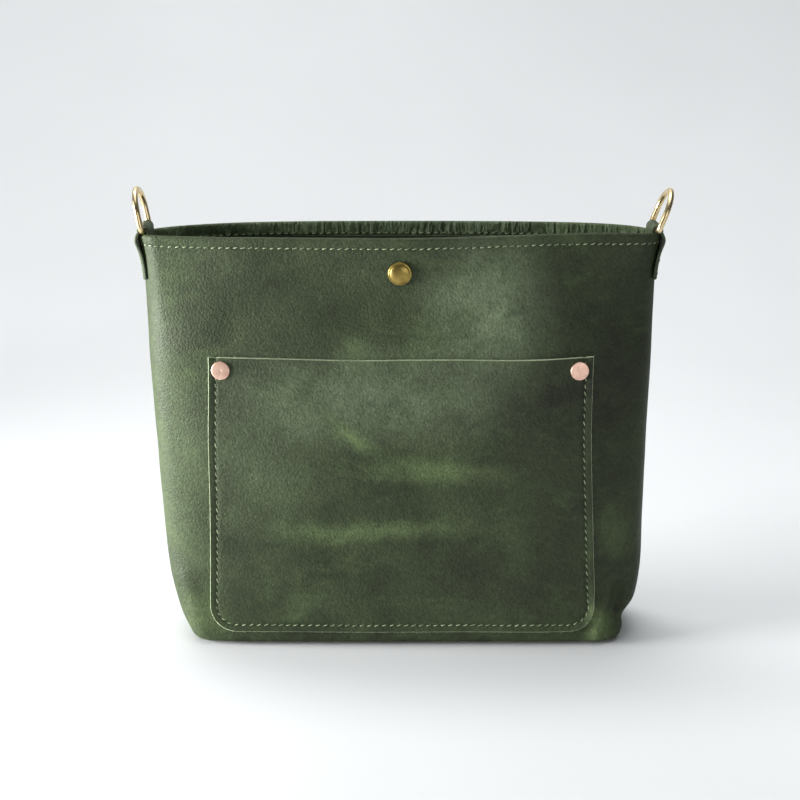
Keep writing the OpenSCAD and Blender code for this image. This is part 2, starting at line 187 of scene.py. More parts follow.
# %% Leather, grain side
def leather_material(name, dark, middle, light, grain=1.0, marks=(), wrinkle=0.0):
    """Oiled pull-up leather: cloudy dye, pale pull-up marks, painted light and shade, pebble grain
    and fine creases
    """
    material, shader, place = new_material(name)
    clouds = add_node(material, "TexNoise",
                      {"Vector": place, "Scale": per_mm(42), "Detail": 5.0, "Roughness": 0.6,
                       "Distortion": 0.3}).outputs["Fac"]
    tone = add_node(material, "ValToRGB", {"Fac": clouds},
                    stops=[(0.34, linear(dark)), (0.52, linear(middle)),
                           (0.74, linear(light))]).outputs["Color"]
    # bends run across the bag, so their noise is stretched that way
    along = add_node(material, "Mapping",
                     {"Vector": place, "Scale": (0.45, 1.0, 1.0),
                      "Rotation": (0, math.radians(-9), 0)}).outputs[0]
    bends = add_node(material, "TexNoise",
                     {"Vector": along, "Scale": per_mm(22), "Detail": 6.0, "Roughness": 0.65,
                      "Distortion": 0.5}).outputs["Fac"]
    bent = add_node(material, "MapRange",
                    {"Value": bends, "From Min": 0.55, "From Max": 0.85, "To Max": 0.5})
    tone = add_node(material, "Mix", {0: bent.outputs[0], 6: tone,
                                                7: linear("5d7048")},
                    data_type="RGBA").outputs[2]
    shaken, patchy = torn_edges(material, place) if marks else (None, None)
    for spot, reach, turn, colour, strength in marks:
        # each mark is pull-up, painted light or painted shade, as its colour says
        mask = pull_up_and_painted_light_mark(material, shaken, patchy, spot, reach, turn, strength)
        tone = add_node(material, "Mix", {0: mask, 6: tone, 7: linear(colour)},
                        data_type="RGBA").outputs[2]
    # fine mottling, where the dye took unevenly between the pores
    speck = add_node(material, "TexNoise",
                     {"Vector": place, "Scale": per_mm(2.4), "Detail": 4.0,
                      "Roughness": 0.75}).outputs["Fac"]
    speck = add_node(material, "ValToRGB", {"Fac": speck},
                     stops=[(0.32, grey(0.26)), (0.68, grey(0.76))]).outputs["Color"]
    tone = add_node(material, "Mix", {0: 0.65, 6: tone, 7: speck},
                    data_type="RGBA", blend_type="SOFT_LIGHT").outputs[2]
    pebble = add_node(material, "TexVoronoi",
                      {"Vector": place, "Scale": per_mm(1.5), "Smoothness": 0.5},
                      feature="SMOOTH_F1").outputs["Distance"]
    lean = add_node(material, "Mapping",
                    {"Vector": place, "Rotation": (0, math.radians(38), 0),
                     "Scale": (0.45, 1.0, 1.0)}).outputs[0]
    crease = add_node(material, "TexNoise",
                      {"Vector": lean, "Scale": per_mm(1.9), "Detail": 5.0, "Roughness": 0.62,
                       "Distortion": 1.6}).outputs["Fac"]
    pores = add_node(material, "TexNoise",
                     {"Vector": place, "Scale": per_mm(0.6), "Detail": 2.0}).outputs["Fac"]
    # creases catch the light where the hide flexes, and lie almost flat between
    flex = add_node(material, "TexNoise",
                    {"Vector": place, "Scale": per_mm(55), "Detail": 2.0}).outputs["Fac"]
    flexed = add_node(material, "MapRange",
                      {"Value": flex, "From Min": 0.35, "From Max": 0.65,
                       "To Min": 0.16 * grain, "To Max": 0.46 * grain}).outputs[0]
    bump = add_node(material, "Bump",
                    {"Height": pebble, "Strength": 0.5 * grain, "Distance": 0.0005},
                    invert=True).outputs[0]
    layers = [(crease, flexed, 0.0009), (pores, 0.2 * grain, 0.0002)]
    if wrinkle:
        # upright wrinkles of the squeezed hem, about 3 mm apart
        upright = add_node(material, "Mapping",
                           {"Vector": place, "Scale": (1.0, 0.2, 0.26)}).outputs[0]
        folds = add_node(material, "TexNoise",
                         {"Vector": upright, "Scale": per_mm(3.2), "Detail": 3.0,
                          "Distortion": 0.5}).outputs["Fac"]
        layers.insert(0, (folds, wrinkle, 0.003))
    for height, strength, distance in layers:
        bump = add_node(material, "Bump", {"Height": height, "Strength": strength,
                                           "Distance": distance, "Normal": bump}).outputs[0]
    gloss = add_node(material, "MapRange",
                     {"Value": clouds, "From Min": 0.3, "From Max": 0.7, "To Min": 0.52,
                      "To Max": 0.66}).outputs[0]
    dress(material, shader, {"Base Color": tone, "Roughness": gloss, "Normal": bump},
          IOR=1.48, Specular_IOR_Level=0.27)
    return material
oiled_leather = leather_material("oiled_pull_up_leather", "2a321f", "353f28", "414c32",
                                 marks=front_marks)
hem_leather = leather_material("oiled_leather_hem", "465439", "576748", "69795a", wrinkle=1.6)
strap_leather = leather_material("oiled_strap_leather", "323b26", "3e4a30", "4b593b",
                                 grain=0.8)
print("leather materials:", oiled_leather.name, hem_leather.name, strap_leather.name)
# %% [markdown]
# ## Leather, flesh side and cut edges
# Inside the bag the flesh side shows: brushed, fibrous and without wax, so it is paler, quite
# matt and a little fuzzy, which the sheen gives. The dye reaches the middle of the hide only
# thinly, so a freshly cut edge is a pale grey green with short loose fibres.
# %% Flesh side and cut edges
def fibre_material(name, dark, light, fibre, rough, sheen):
    """Matt fibrous leather: fibre is the width of its nap in mm"""
    material, shader, place = new_material(name)
    nap = add_node(material, "TexNoise",
                   {"Vector": place, "Scale": per_mm(fibre), "Detail": 6.0, "Roughness": 0.75,
                    "Distortion": 0.8}).outputs["Fac"]
    cloud = add_node(material, "TexNoise",
                     {"Vector": place, "Scale": per_mm(25), "Detail": 3.0}).outputs["Fac"]
    stops = [(0.3, linear(dark)), (0.7, linear(light))]
    fine = add_node(material, "ValToRGB", {"Fac": nap}, stops=stops).outputs[0]
    broad = add_node(material, "ValToRGB", {"Fac": cloud}, stops=stops).outputs[0]
    tone = add_node(material, "Mix", {0: 0.4, 6: fine, 7: broad},
                    data_type="RGBA").outputs[2]
    bump = add_node(material, "Bump",
                    {"Height": nap, "Strength": 0.5, "Distance": 0.0004}).outputs[0]
    dress(material, shader, {"Base Color": tone, "Normal": bump}, Roughness=rough, IOR=1.45,
          Sheen_Weight=sheen, Sheen_Roughness=0.5)
    return material
flesh_side = fibre_material("brushed_flesh_side", "3a4430", "586447", 0.9, 0.9, 0.3)
cut_edge = fibre_material("raw_cut_edge", "7f8e69", "b7c69e", 0.5, 0.85, 0.3)
strap_edge = fibre_material("burnished_strap_edge", "2c3521", "4c5a3c", 0.6, 0.7, 0.1)
# %% [markdown]
# ## Thread
# The seams are sewn with bonded polyester, a smooth three-ply yarn 0.8 mm thick. The plies are
# drawn as a fine slanted wave. The needle holes are the same leather in its own shadow.
# %% Thread
def thread_material():
    """Bonded polyester thread in pale green"""
    material, shader, place = new_material("bonded_polyester_thread")
    lean = add_node(material, "Mapping",
                    {"Vector": place, "Rotation": (0.3, math.radians(35), 0.2)}).outputs[0]
    plies = add_node(material, "TexWave",
                     {"Vector": lean, "Scale": per_mm(0.7) / 20, "Distortion": 1.0,
                      "Detail": 2.0, "Detail Scale": 3.0}, wave_type="BANDS").outputs["Fac"]
    tone = add_node(material, "ValToRGB", {"Fac": plies},
                    stops=[(0.2, linear("75845f")), (0.8, linear("a6b48d"))]).outputs[0]
    bump = add_node(material, "Bump",
                    {"Height": plies, "Strength": 0.5, "Distance": 0.0002}).outputs[0]
    dress(material, shader, {"Base Color": tone, "Normal": bump}, Roughness=0.45, IOR=1.57)
    return material
def hole_material():
    """The dark inside of a needle hole"""
    material, shader, place = new_material("needle_hole_shadow")
    fleck = add_node(material, "TexNoise",
                     {"Vector": place, "Scale": per_mm(0.4)}).outputs["Fac"]
    tone = add_node(material, "ValToRGB", {"Fac": fleck},
                    stops=[(0.3, linear("10140d")), (0.7, linear("1e2518"))]).outputs[0]
    dress(material, shader, {"Base Color": tone}, Roughness=0.9)
    return material
sewing_thread = thread_material()
needle_hole = hole_material()
# %% [markdown]
# ## Metals
# The rings are polished yellow brass, bright with fine handling scratches. The snap is antique
# brass: plated, then brushed so its dome is hazy and its rolled rim shines. The rivets are bare
# copper, struck flat, with the faint rings and dimple of the setting tool. A metal keeps the
# default IOR and gets its look from colour, roughness and small scratches.
# %% Metals
def metal_material(name, deep, bright, rough, scratch, mottle=12.0):
    """A metal with handling marks: rough is (least, most), scratch the bump's strength"""
    material, shader, place = new_material(name)
    spots = add_node(material, "TexNoise",
                     {"Vector": place, "Scale": per_mm(mottle), "Detail": 5.0,
                      "Roughness": 0.65}).outputs["Fac"]
    stretch = add_node(material, "Mapping",
                       {"Vector": place, "Scale": (1.0, 1.0, 0.12),
                        "Rotation": (0.2, 0.5, 0.1)}).outputs[0]
    lines = add_node(material, "TexNoise",
                     {"Vector": stretch, "Scale": per_mm(0.6), "Detail": 4.0,
                      "Roughness": 0.7}).outputs["Fac"]
    tone = add_node(material, "ValToRGB", {"Fac": spots},
                    stops=[(0.3, linear(deep)), (0.65, linear(bright))]).outputs[0]
    gloss = add_node(material, "MapRange",
                     {"Value": lines, "From Min": 0.35, "From Max": 0.7, "To Min": rough[0],
                      "To Max": rough[1]}).outputs[0]
    bump = add_node(material, "Bump",
                    {"Height": lines, "Strength": scratch, "Distance": 0.0001}).outputs[0]
    dress(material, shader, {"Base Color": tone, "Roughness": gloss, "Normal": bump},
          Metallic=1.0)
    return material
polished_brass = metal_material("polished_yellow_brass", "cdb585", "e6d3a8", (0.22, 0.34), 0.15)
antique_brass = metal_material("brushed_antique_brass", "85713a", "b09a58", (0.28, 0.44), 0.25, 5)
bare_copper = metal_material("struck_bare_copper", "dbae99", "f0ccba", (0.38, 0.52), 0.35, 4)
# %% [markdown]
# ## Helpers for meshes
# Every soft piece here is a grid: rows of points that are joined into quads. Points are kept in
# a big array, so a whole wall can be bent or dented at once. `make_piece` keeps only the faces
# that a piece needs, welds points that coincide and carries the normals of the uncut surface,
# so two halves of one wall shade as one where they meet.
# %% Mesh helpers
def grid_faces(rows, columns, start=0):
    """Quads of a grid whose points run along each row"""
    first = start + np.arange((rows - 1) * columns).reshape(rows - 1, columns)[:, :-1].ravel()
    return np.stack([first, first + 1, first + columns + 1, first + columns], axis=1)
def skin_faces(rows, columns):
    """A front grid's quads, its outline, and all quads of a front and back closed round it"""
    ring = np.concatenate([np.arange(columns), np.arange(1, rows) * columns + columns - 1,
                           (rows - 1) * columns + np.arange(columns - 2, -1, -1),
                           np.arange(rows - 2, 0, -1) * columns])
    rim_quads = np.stack([ring, ring + rows * columns, np.roll(ring, -1) + rows * columns,
                          np.roll(ring, -1)], axis=1)
    sheet = grid_faces(rows, columns)
    return sheet, ring, np.concatenate([sheet, sheet[:, ::-1] + rows * columns, rim_quads])
def tube_faces(rings, wrap, around):
    """Quads between this many rings of points; ring number "wrap" is the first one again"""
    return np.array([[j % wrap * around + k, j % wrap * around + (k + 1) % around,
                      (j + 1) % wrap * around + (k + 1) % around, (j + 1) % wrap * around + k]
                     for j in range(rings) for k in range(around)])
def face_normals(points, faces):
    """Area-weighted normals of quads"""
    a, b, c, d = (points[faces[:, k]] for k in range(4))
    return np.cross(c - a, d - b)
def point_normals(points, faces):
    """Smooth unit normals at the points of a quad mesh"""
    total = np.zeros_like(points)
    square = face_normals(points, faces)
    for k in range(4):
        np.add.at(total, faces[:, k], square)
    return unit(total)
def unit(vectors):
    """Vectors scaled to length 1"""
    length = np.linalg.norm(vectors, axis=-1, keepdims=True)
    return vectors / np.maximum(length, 1e-12)
def make_piece(name, points, faces, materials, kinds=None, normals=None):
    """A smooth-shaded object from points in mm, quads, and each quad's material number"""
    faces = np.asarray(faces)
    kinds = np.zeros(len(faces), int) if kinds is None else np.asarray(kinds)
    used, local = np.unique(faces, return_inverse=True)
    local = local.reshape(faces.shape)
    spots, keep, weld = np.unique(np.round(points[used], 4), axis=0, return_index=True,
                                  return_inverse=True)
    weld = weld.ravel()
    polygons, numbers = [], []
    for quad, kind in zip(weld[local].tolist(), kinds.tolist()):
        corners = [p for k, p in enumerate(quad) if p != quad[k - 1]]
        if len(corners) >= 3 and len(set(corners)) == len(corners):
            polygons.append(corners)
            numbers.append(kind)
    mesh = bpy.data.meshes.new(name)
    mesh.from_pydata((spots * MM).tolist(), [], polygons)
    for material in materials:
        mesh.materials.append(material)
    mesh.polygons.foreach_set("material_index", numbers)
    mesh.polygons.foreach_set("use_smooth", [True] * len(polygons))
    mesh.update()
    if normals is not None:
        mesh.normals_split_custom_set_from_vertices(normals[used][keep].tolist())
    made = bpy.data.objects.new(name, mesh)
    bpy.context.scene.collection.objects.link(made)
    return made
def smooth_step(value, low, high):
    """0 below low, 1 above high, and an even S between"""
    t = np.clip((value - low) / (high - low), 0, 1)
    return t * t * (3 - 2 * t)
def wobble(points, size, seed):
    """Smooth noise of about -1 to 1 at each point, with lumps of this many mm"""
    flat = points.reshape(-1, 3) / size + seed
    values = [noise.noise(Vector(p)) for p in flat.tolist()]
    return np.array(values).reshape(points.shape[:-1])
# %% [markdown]
# ## The shape of the bag
# A tote like this is two flat panels sewn face to face and turned. Its boxed corners pull the
# sides in at the base. In plan it is a rounded rectangle low down that closes to a slim lens at
# the rim. A superellipse gives both with one number, its power. The sizes are the frame's.
# %% Shape of the bag
panel_low, panel_high = (np.array(c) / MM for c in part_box("front_panel"))
rim_half, rim_z, base_half = panel_high[0], panel_high[2], -panel_low[1]
mouth_half = 30.0
leather = 1.8
# the rim flares, the sides taper, the boxed corners draw in, and the wall is straight near the rim
flare, flare_h, taper = 3.8, 32, 5
corner_in, corner_h, straight_h = 13, 60, 45
# the wall rolls under at its foot, which floats a little; a panel is panel_run wide laid flat
foot_in, foot_h, base_float, panel_run = 4.2, 3.5, 2, 360
print("rim half width %.1f, height %.1f, base half depth %.1f" % (rim_half, rim_z, base_half))
def half_width(z):
    """Half the bag's width at height z"""
    below_rim = 1 - (1 - np.clip((rim_z - z) / flare_h, 0, 1)) ** 2
    return (rim_half - flare * below_rim - taper * (rim_z - z) / rim_z
            - corner_in * np.maximum(0, 1 - z / corner_h) ** 2)
def half_depth(z):
    """Half the bag's depth at height z"""
    belly = np.clip((rim_z - straight_h - z) / (rim_z - straight_h - rim_z / 4), 0, 1)
    bulge = (base_half - mouth_half) * np.sin(np.pi / 2 * belly)
    tuck = 1 - np.sqrt(1 - np.clip(1 - z / foot_h, 0, 1) ** 2)
    return mouth_half + bulge - foot_in * tuck
def plan_power(z):
    """Power of the superellipse plan at height z"""
    return 3 + np.minimum(1, (rim_z - z) / (rim_z * 0.75)) + 4 * np.maximum(0, 1 - z / 70) ** 2
def plan_curve(z, columns):
    """Points of the front's plan at height z, at these shares of its length from the left"""
    angle = np.linspace(0, np.pi, 1441)
    power = 2 / plan_power(z)
    c, s = np.cos(angle), np.sin(angle)
    x = -np.sign(c) * half_width(z) * np.abs(c) ** power
    y = -half_depth(z) * np.abs(s) ** power
    run = np.concatenate([[0], np.cumsum(np.hypot(np.diff(x), np.diff(y)))])
    return np.interp(columns * run[-1], run, x), np.interp(columns * run[-1], run, y)
# %% [markdown]
# ## Where the leather gives
# Real leather is never an ideal surface. The rim dips and stands proud, the bag leans a little,
# the side seams pull in to a groove, the walls have shallow dents, and each boxed corner folds
# the wall above it into a small ear. All of it is written as one displacement along the wall's
# normal, made of a few soft bumps at known places and a slow noise.
# %% Where the leather gives
def bump_at(points, centre, reach, height):
    """A soft bump: centre and reach in x and z, mm"""
    dx = (points[..., 0] - centre[0]) / reach[0]
    dz = (points[..., 2] - centre[1]) / reach[1]
    return height * np.exp(-dx * dx - dz * dz)
def ridge(points, a, b, wide, height):
    """A soft ridge (or valley, if height is negative) along a line from a to b in x and z"""
    a, b = np.array(a, float), np.array(b, float)
    p = points[..., [0, 2]]
    along = np.clip(((p - a) @ (b - a)) / ((b - a) @ (b - a)), 0, 1)
    away = np.linalg.norm(p - (a + along[..., None] * (b - a)), axis=-1)
    return height * np.exp(-(away / wide) ** 2)
def front_slack(p):
    """How far the front stands out of its ideal shape"""
    give = 1.1 * wobble(p * (1, 1, 1.5), 85, 3.1) + 0.45 * wobble(p * (1, 1, 1.3), 34, 9.4)
    # boxed corner on the right: a deep crease above the ear, and a lit fold beside it
    give += ridge(p, (146, 40), (139, 14), 5.0, -5.0)
    give += ridge(p, (135, 30), (131, 5), 6.0, 3.2)
    # on the left the corner folds softly
    give += ridge(p, (-143, 44), (-133, 10), 7.0, 1.3)
    # hollows above the base and beside the pocket
    give += bump_at(p, (140, 108), (14, 24), -1.2) + bump_at(p, (-143, 140), (12, 30), -0.9)
    # a broad swelling right of the snap and a hollow left of it
    give += bump_at(p, (84, 232), (34, 44), 3.4) + bump_at(p, (-20, 228), (40, 36), -1.2)
    return give
def end_slack(p):
    """What both panels share at the side seams, so that they still meet"""
    z, right = p[..., 2], p[..., 0] > 0
    notch = -6.5 * np.exp(-((z - 17) / 6.5) ** 2) - 3.0 * np.exp(-((z - 2) / 14) ** 2)
    slope = -1.0 * np.exp(-((z - 30) / 18) ** 2) - 3.4 * np.exp(-((z - 5) / 10) ** 2)
    return np.where(right, notch, slope)
def back_slack(p):
    """The same for the back, whose folds sit elsewhere"""
    give = 1.2 * wobble(p * (1, 1, 1.5), 80, 21.7) + 0.45 * wobble(p * (1, 1, 1.3), 34, 14.2)
    for side in (-1, 1):
        give += bump_at(p, (side * 145, 10), (9, 8), 3.2)
        give += ridge(p, (side * 149, 21), (side * 139, 12), 4.2, -3.0)
        give += ridge(p, (side * 131, 26), (side * 124, 5), 7.0, 1.3)
    give += bump_at(p, (-30, 120), (60, 30), -1.4) + bump_at(p, (70, 170), (30, 40), 0.8)
    return give
# the front's rim: places from the left seam (-1) to the right one (1), its height there, and how
# far it stands out from the middle of the bag
front_rim_x = [-1, -0.9, -0.76, -0.57, 0, 0.19, 0.38, 0.57, 0.76, 0.9, 1]
front_rim_z = [271.9, 272.2, 272.1, 272.5, 272.8, 273.2, 273.8, 274.4, 274.3, 273.5, 273.1]
front_rim_y = [13.0, 15.8, 19.2, 23.4, 30.0, 28.6, 25.0, 21.0, 17.2, 15.3, 12.6]
def rim_line(u, heights):
    """A rim line read at u, with its corners rounded by averaging"""
    return sum(np.interp(u + d, front_rim_x, heights) for d in (-0.1, -0.05, 0, 0.05, 0.1)) / 5
# %% [markdown]
# ## One panel as a grid
# Rows climb from the seam under the base, round the lower edge and up the wall; they roll over
# the rim, come down as the turned hem, step in at its cut edge and go back down as the flesh
# side. Columns run from the left side seam to the right one, closer together near the seams,
# where the leather rolls into the groove.
# %% Rows and columns of a panel
base_share = np.linspace(0, 1, 9)[:-1]
wall_z = np.concatenate([[0, 0.8, 2, 4, 6, 8.5, 11], np.arange(13.6, 257, 2.6),
                         np.arange(258.2, 263.9, 1.0), [264.4, 264.9, 265.4, 265.9, 266.4],
                         [267.2, 268.2, 269.2, 270.2]])
near_seam = np.array([0, 0.6, 1.2, 1.9, 2.8, 4.0, 5.6, 7.6]) / panel_run
shares = np.concatenate([near_seam, np.linspace(9.8 / panel_run, 0.5, 70)])
shares = np.concatenate([shares, 1 - shares[-2::-1]])
middle = len(shares) // 2
# the hem's cut edge, and the needle row through each hem
hem_z = 262.9
stitch_z, back_stitch_z = 265.4, 264.4
print("rows", len(base_share) + len(wall_z), "columns", len(shares), "middle", middle)
def outer_face(front):
    """Outer face of a panel before it is turned over the rim, rows by columns"""
    rows = []
    x, y = plan_curve(0.0, shares)
    # the base sags to the floor in the middle, so its outer edge floats above it
    for share in base_share:
        lift = base_float * smooth_step(share, 0.5, 1)
        rows.append(np.stack([x, y * share, 0 * x + lift], axis=1))
    for z in wall_z:
        x, y = plan_curve(z, shares)
        lift = base_float * max(0, 1 - z / 14) ** 2
        rows.append(np.stack([x, y, 0 * x + z + lift], axis=1))
    p = np.array(rows)
    u = p[..., 0] / half_width(p[..., 2])
    near_rim = smooth_step(p[..., 2], 190, 268)
    if front:
        turn = np.sin(np.pi / 2 * np.clip((1 - np.abs(u)) / 0.07, 0, 1))
        line_y = -rim_line(u, front_rim_y) * turn ** 0.6
        lift = rim_line(u, front_rim_z) - rim_z
    else:
        line_y = -mouth_half * np.maximum(0, 1 - np.abs(u) ** 2.6) ** 0.45
        lift = 2.3 - 2.4 * np.abs(u) ** np.where(u < 0, 4, 10)
    p[..., 1] += near_rim * 0.85 * (line_y - p[..., 1])
    p[..., 2] += smooth_step(p[..., 2], 200, 270) * lift
    p[..., 0] += 5 * np.maximum(0, 1 - p[..., 2] / rim_z) ** 2.5
    if not front:
        p[..., 1] *= -1
    return p
def grid_normals(p, front):
    """Unit normals of a grid, pointing out of the bag"""
    n = unit(np.cross(np.gradient(p, axis=1), np.gradient(p, axis=0)))
    n = n if front else -n
    n[:, 0], n[:, -1] = n[:, 1], n[:, -2]
    n[: len(base_share)] = (0, 0, -1)
    return n
def slacken(p, front, needle_z):
    """Moves a panel's outer face along its normals by its slack and its seams"""
    n = grid_normals(p, front)
    z, wall = p[..., 2], np.arange(len(p)) >= len(base_share)
    give = front_slack(p) if front else back_slack(p)
    give *= smooth_step(z, 0, 7) * (1 - 0.75 * smooth_step(z, 245, 268))
    run = np.abs(np.concatenate([shares[: middle + 1], 1 - shares[middle + 1:]])) * panel_run
    # the wall rolls into the seam: a low welt on each side and a groove between them
    give = give * smooth_step(run, 0, 14) + end_slack(p) * (1 - smooth_step(run, 16, 44))
    welt = 0.9 * np.exp(-((run - 6) / 4.5) ** 2) - 1.3 * np.exp(-(run / 1.9) ** 2)
    give = give + welt * smooth_step(z, 0, 4)
    # the needle row under the rim presses a shallow channel
    give = give - 0.35 * np.exp(-((z - needle_z) / 0.9) ** 2)
    # boxed corners: the seam along each end of the base
    end = smooth_step(np.abs(p[..., 0]), 128, 138) * (1 - smooth_step(np.abs(p[..., 1]), 26, 33))
    give = give - 1.1 * np.exp(-((z - 3.2) / 1.6) ** 2) * end
    give = np.where(wall[:, None], give, 0)
    p = p + n * give[..., None]
    # under the base: the middle seam is a groove, and the leather between lifts a little
    under = ~wall
    depth = np.abs(p[under][..., 1])
    p[under, :, 2] += 1.2 * np.exp(-(depth / 1.6) ** 2) + 0.25 * smooth_step(depth, 0, 12)
    return p
# %% [markdown]
# The grid is used twice more: the hem and the flesh side are the same points moved inwards
# along the normals by one or two thicknesses of leather. Down the inside of the hem the leather
# is squeezed into fine upright wrinkles, because the inner turn is shorter than the outer one.
# %% Turn the rim and line the inside
def build_panel(front):
    """All points of a panel, its quads, their materials and the parts it splits into"""
    needle_z = stitch_z if front else back_stitch_z
    flat = outer_face(front)
    # rows were lifted with the rim, so the needle's height is read back from its own row
    row = len(base_share) + int(np.argmin(np.abs(wall_z - needle_z)))
    outer = slacken(flat, front, flat[row, :, 2])
    n = grid_normals(outer, front)
    rows, columns = outer.shape[:2]
    top = outer[-1]
    out = unit(n[-6:].mean(axis=0) * (1, 1, 0))
    roll = [top - out * leather + leather * (out * math.cos(a) + np.array([0, 0, 1]) * math.sin(a))
            for a in np.radians([25, 50, 75, 90, 105, 130, 155])]
    first_hem = len(base_share) + int(np.searchsorted(wall_z, hem_z))
    down = np.arange(rows - 1, first_hem - 1, -1)
    hem = outer[down] - out * (2 * leather)
    squeeze = wobble(hem * (1, 1, 0.3), 4.2, 5.5) + 0.7 * wobble(hem * (1, 1, 0.5), 2.6, 2.2)
    fade = smooth_step(np.arange(len(down)), -1, 3)
    hem = hem + out * (0.85 * fade[:, None] * squeeze)[..., None]
    hem[-1, :, 2] += 0.25 * wobble(hem[-1], 9, 1.3)
    cut = [hem[-1] + out * 0.5 - (0, 0, 0.25), hem[-1] + out * (leather - 0.1) - (0, 0, 0.1)]
    back_rows = np.arange(first_hem - 1, -1, -1)
    inner = outer[back_rows] - n[back_rows] * leather
    low = back_rows < len(base_share) + 3
    inner[low, :, 2] = leather + 0.3 * np.arange(low.sum())[::-1][:, None] * 0.1
    loop = np.concatenate([outer, roll, hem, cut, inner])
    points = loop.reshape(-1, 3)
    faces = grid_faces(len(loop), columns)
    kinds = np.zeros((len(loop) - 1, columns - 1), int)
    kinds[rows + 3: rows + len(roll) + len(hem) - 1] = 3
    edge_row = rows + len(roll) + len(hem)
    kinds[edge_row - 1: edge_row + 2] = 2
    kinds[edge_row + 2:] = 1
    row_of = np.repeat(np.arange(len(loop) - 1), columns - 1)
    column_of = np.tile(np.arange(columns - 1), len(loop) - 1)
    # seam ends: quads that close the leather between the outer and the inner side
    level = np.concatenate([np.arange(rows), np.full(len(roll), rows - 1), down,
                            [first_hem] * 2, back_rows])
    closing, closing_row = [], []
    for j in range(rows - 1):
        a = np.flatnonzero((level == j) & (np.arange(len(loop)) >= rows + len(roll) - 1))
        b = np.flatnonzero((level == j + 1) & (np.arange(len(loop)) >= rows + len(roll) - 1))
        if len(a) and len(b):
            for edge in (0, columns - 1):
                quad = [j * columns + edge, (j + 1) * columns + edge,
                        b[0] * columns + edge, a[-1] * columns + edge]
                closing.append(quad[::-1] if edge == 0 else quad)
                closing_row.append(j)
    if not front:
        faces = faces[:, ::-1]
        closing = [quad[::-1] for quad in closing]
    normals = point_normals(points, faces)
    return dict(points=points, faces=faces, kinds=kinds.ravel(), rows=rows, columns=columns,
                row_of=row_of, column_of=column_of, level=level, normals=normals, outer=outer,
                out=n, hem=hem, closing=np.array(closing), closing_row=np.array(closing_row))
front = build_panel(True)
back = build_panel(False)
for title, panel in (("front", front), ("back", back)):
    spots = panel["outer"].reshape(-1, 3)
    print(title, "points", len(panel["points"]), "outer box", np.round(spots.min(0), 1),
          np.round(spots.max(0), 1))
# %% [markdown]
# ## Cutting the panels where the bag moves
# When the mouth is pinched shut the middle of each wall leans in, while the side seams and the
# base stay put. The base is cut off along the line that the wall hinges on and stays with the
# bag.
# %% Walls and base
hinge_row = len(base_share) + 3
def follow_mouth(piece):
    """Bakes the piece's placement into its mesh; it is tied to no body"""
    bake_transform(piece)
def is_base(panel):
    """Which quads lie below the hinge line"""
    level = np.minimum(panel["level"][panel["row_of"]], panel["level"][panel["row_of"] + 1])
    return level < hinge_row
leather_kinds = [oiled_leather, flesh_side, cut_edge, hem_leather]
for name, panel, body, node in (("front_wall", front, "mouth_front", "front_panel"),
                                ("back_wall", back, "mouth_back", "back_panel")):
    low = is_base(panel)
    for half, side in (("left", -1), ("right", 1)):
        mine = (panel["column_of"] < middle) if side < 0 else (panel["column_of"] >= middle)
        ends = panel["closing"][(panel["closing_row"] >= hinge_row)
                                & ((panel["closing"][:, 0] % panel["columns"] == 0) == (side < 0))]
        piece = make_piece(f"{name}_{half}", panel["points"],
                           np.concatenate([panel["faces"][mine & ~low], ends]), leather_kinds,
                           np.concatenate([panel["kinds"][mine & ~low], np.full(len(ends), 2)]),
                           panel["normals"])
        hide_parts(node)
        follow_mouth(piece)
        print(piece.name, len(piece.data.vertices), "points")
count = len(front["points"])
both = np.concatenate([front["points"], back["points"]])
base_faces = np.concatenate([front["faces"][is_base(front)], back["faces"][is_base(back)] + count])
base_kinds = np.concatenate([front["kinds"][is_base(front)], back["kinds"][is_base(back)]])
base = make_piece("bag_base", both, base_faces, leather_kinds, base_kinds,
                  np.concatenate([front["normals"], back["normals"]]))
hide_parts("front_panel", "back_panel")
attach(base, "bag")
# %% [markdown]
# ## Laying things on the leather
# The pocket, its stitches and the rivets lie on the front's real surface, dents included. The
# wall is read as a height map: for each x and z, how far out its face is. From it comes any
# point on the leather, and the direction straight out of it.
# %% Height map of the front
map_x, map_z = np.arange(-150, 150.5, 1.0), np.arange(4, 270, 1.0)
def height_map(panel):
    """Depth of a panel's outer face at each z and x of the map"""
    wall = panel["outer"][len(base_share):]
    depth = np.array([np.interp(map_x, row[:, 0], row[:, 1]) for row in wall])
    height = np.array([np.interp(map_x, row[:, 0], row[:, 2]) for row in wall])
    return np.stack([np.interp(map_z, height[:, k], depth[:, k]) for k in range(len(map_x))], 1)
front_map = height_map(front)
def on_front(x, z, off=0.0):
    """Points "off" mm outside the front's face at x and z, and the directions out of it"""
    def read(x, z):
        i = np.clip((x - map_x[0]), 0, len(map_x) - 1.001)
        j = np.clip((z - map_z[0]), 0, len(map_z) - 1.001)
        i0, j0 = i.astype(int), j.astype(int)
        fi, fj = i - i0, j - j0
        return ((front_map[j0, i0] * (1 - fi) + front_map[j0, i0 + 1] * fi) * (1 - fj)
                + (front_map[j0 + 1, i0] * (1 - fi) + front_map[j0 + 1, i0 + 1] * fi) * fj)
    x, z = np.broadcast_arrays(np.asarray(x, float), np.asarray(z, float))
    slope_x = (read(x + 1.5, z) - read(x - 1.5, z)) / 3
    slope_z = (read(x, z + 1.5) - read(x, z - 1.5)) / 3
    out = unit(np.stack([slope_x, -np.ones_like(x), slope_z], axis=-1))
    return np.stack([x, read(x, z), z], axis=-1) + out * np.asarray(off)[..., None], out
print("front at the snap:", np.round(on_front(0.0, 251.0)[0], 2))
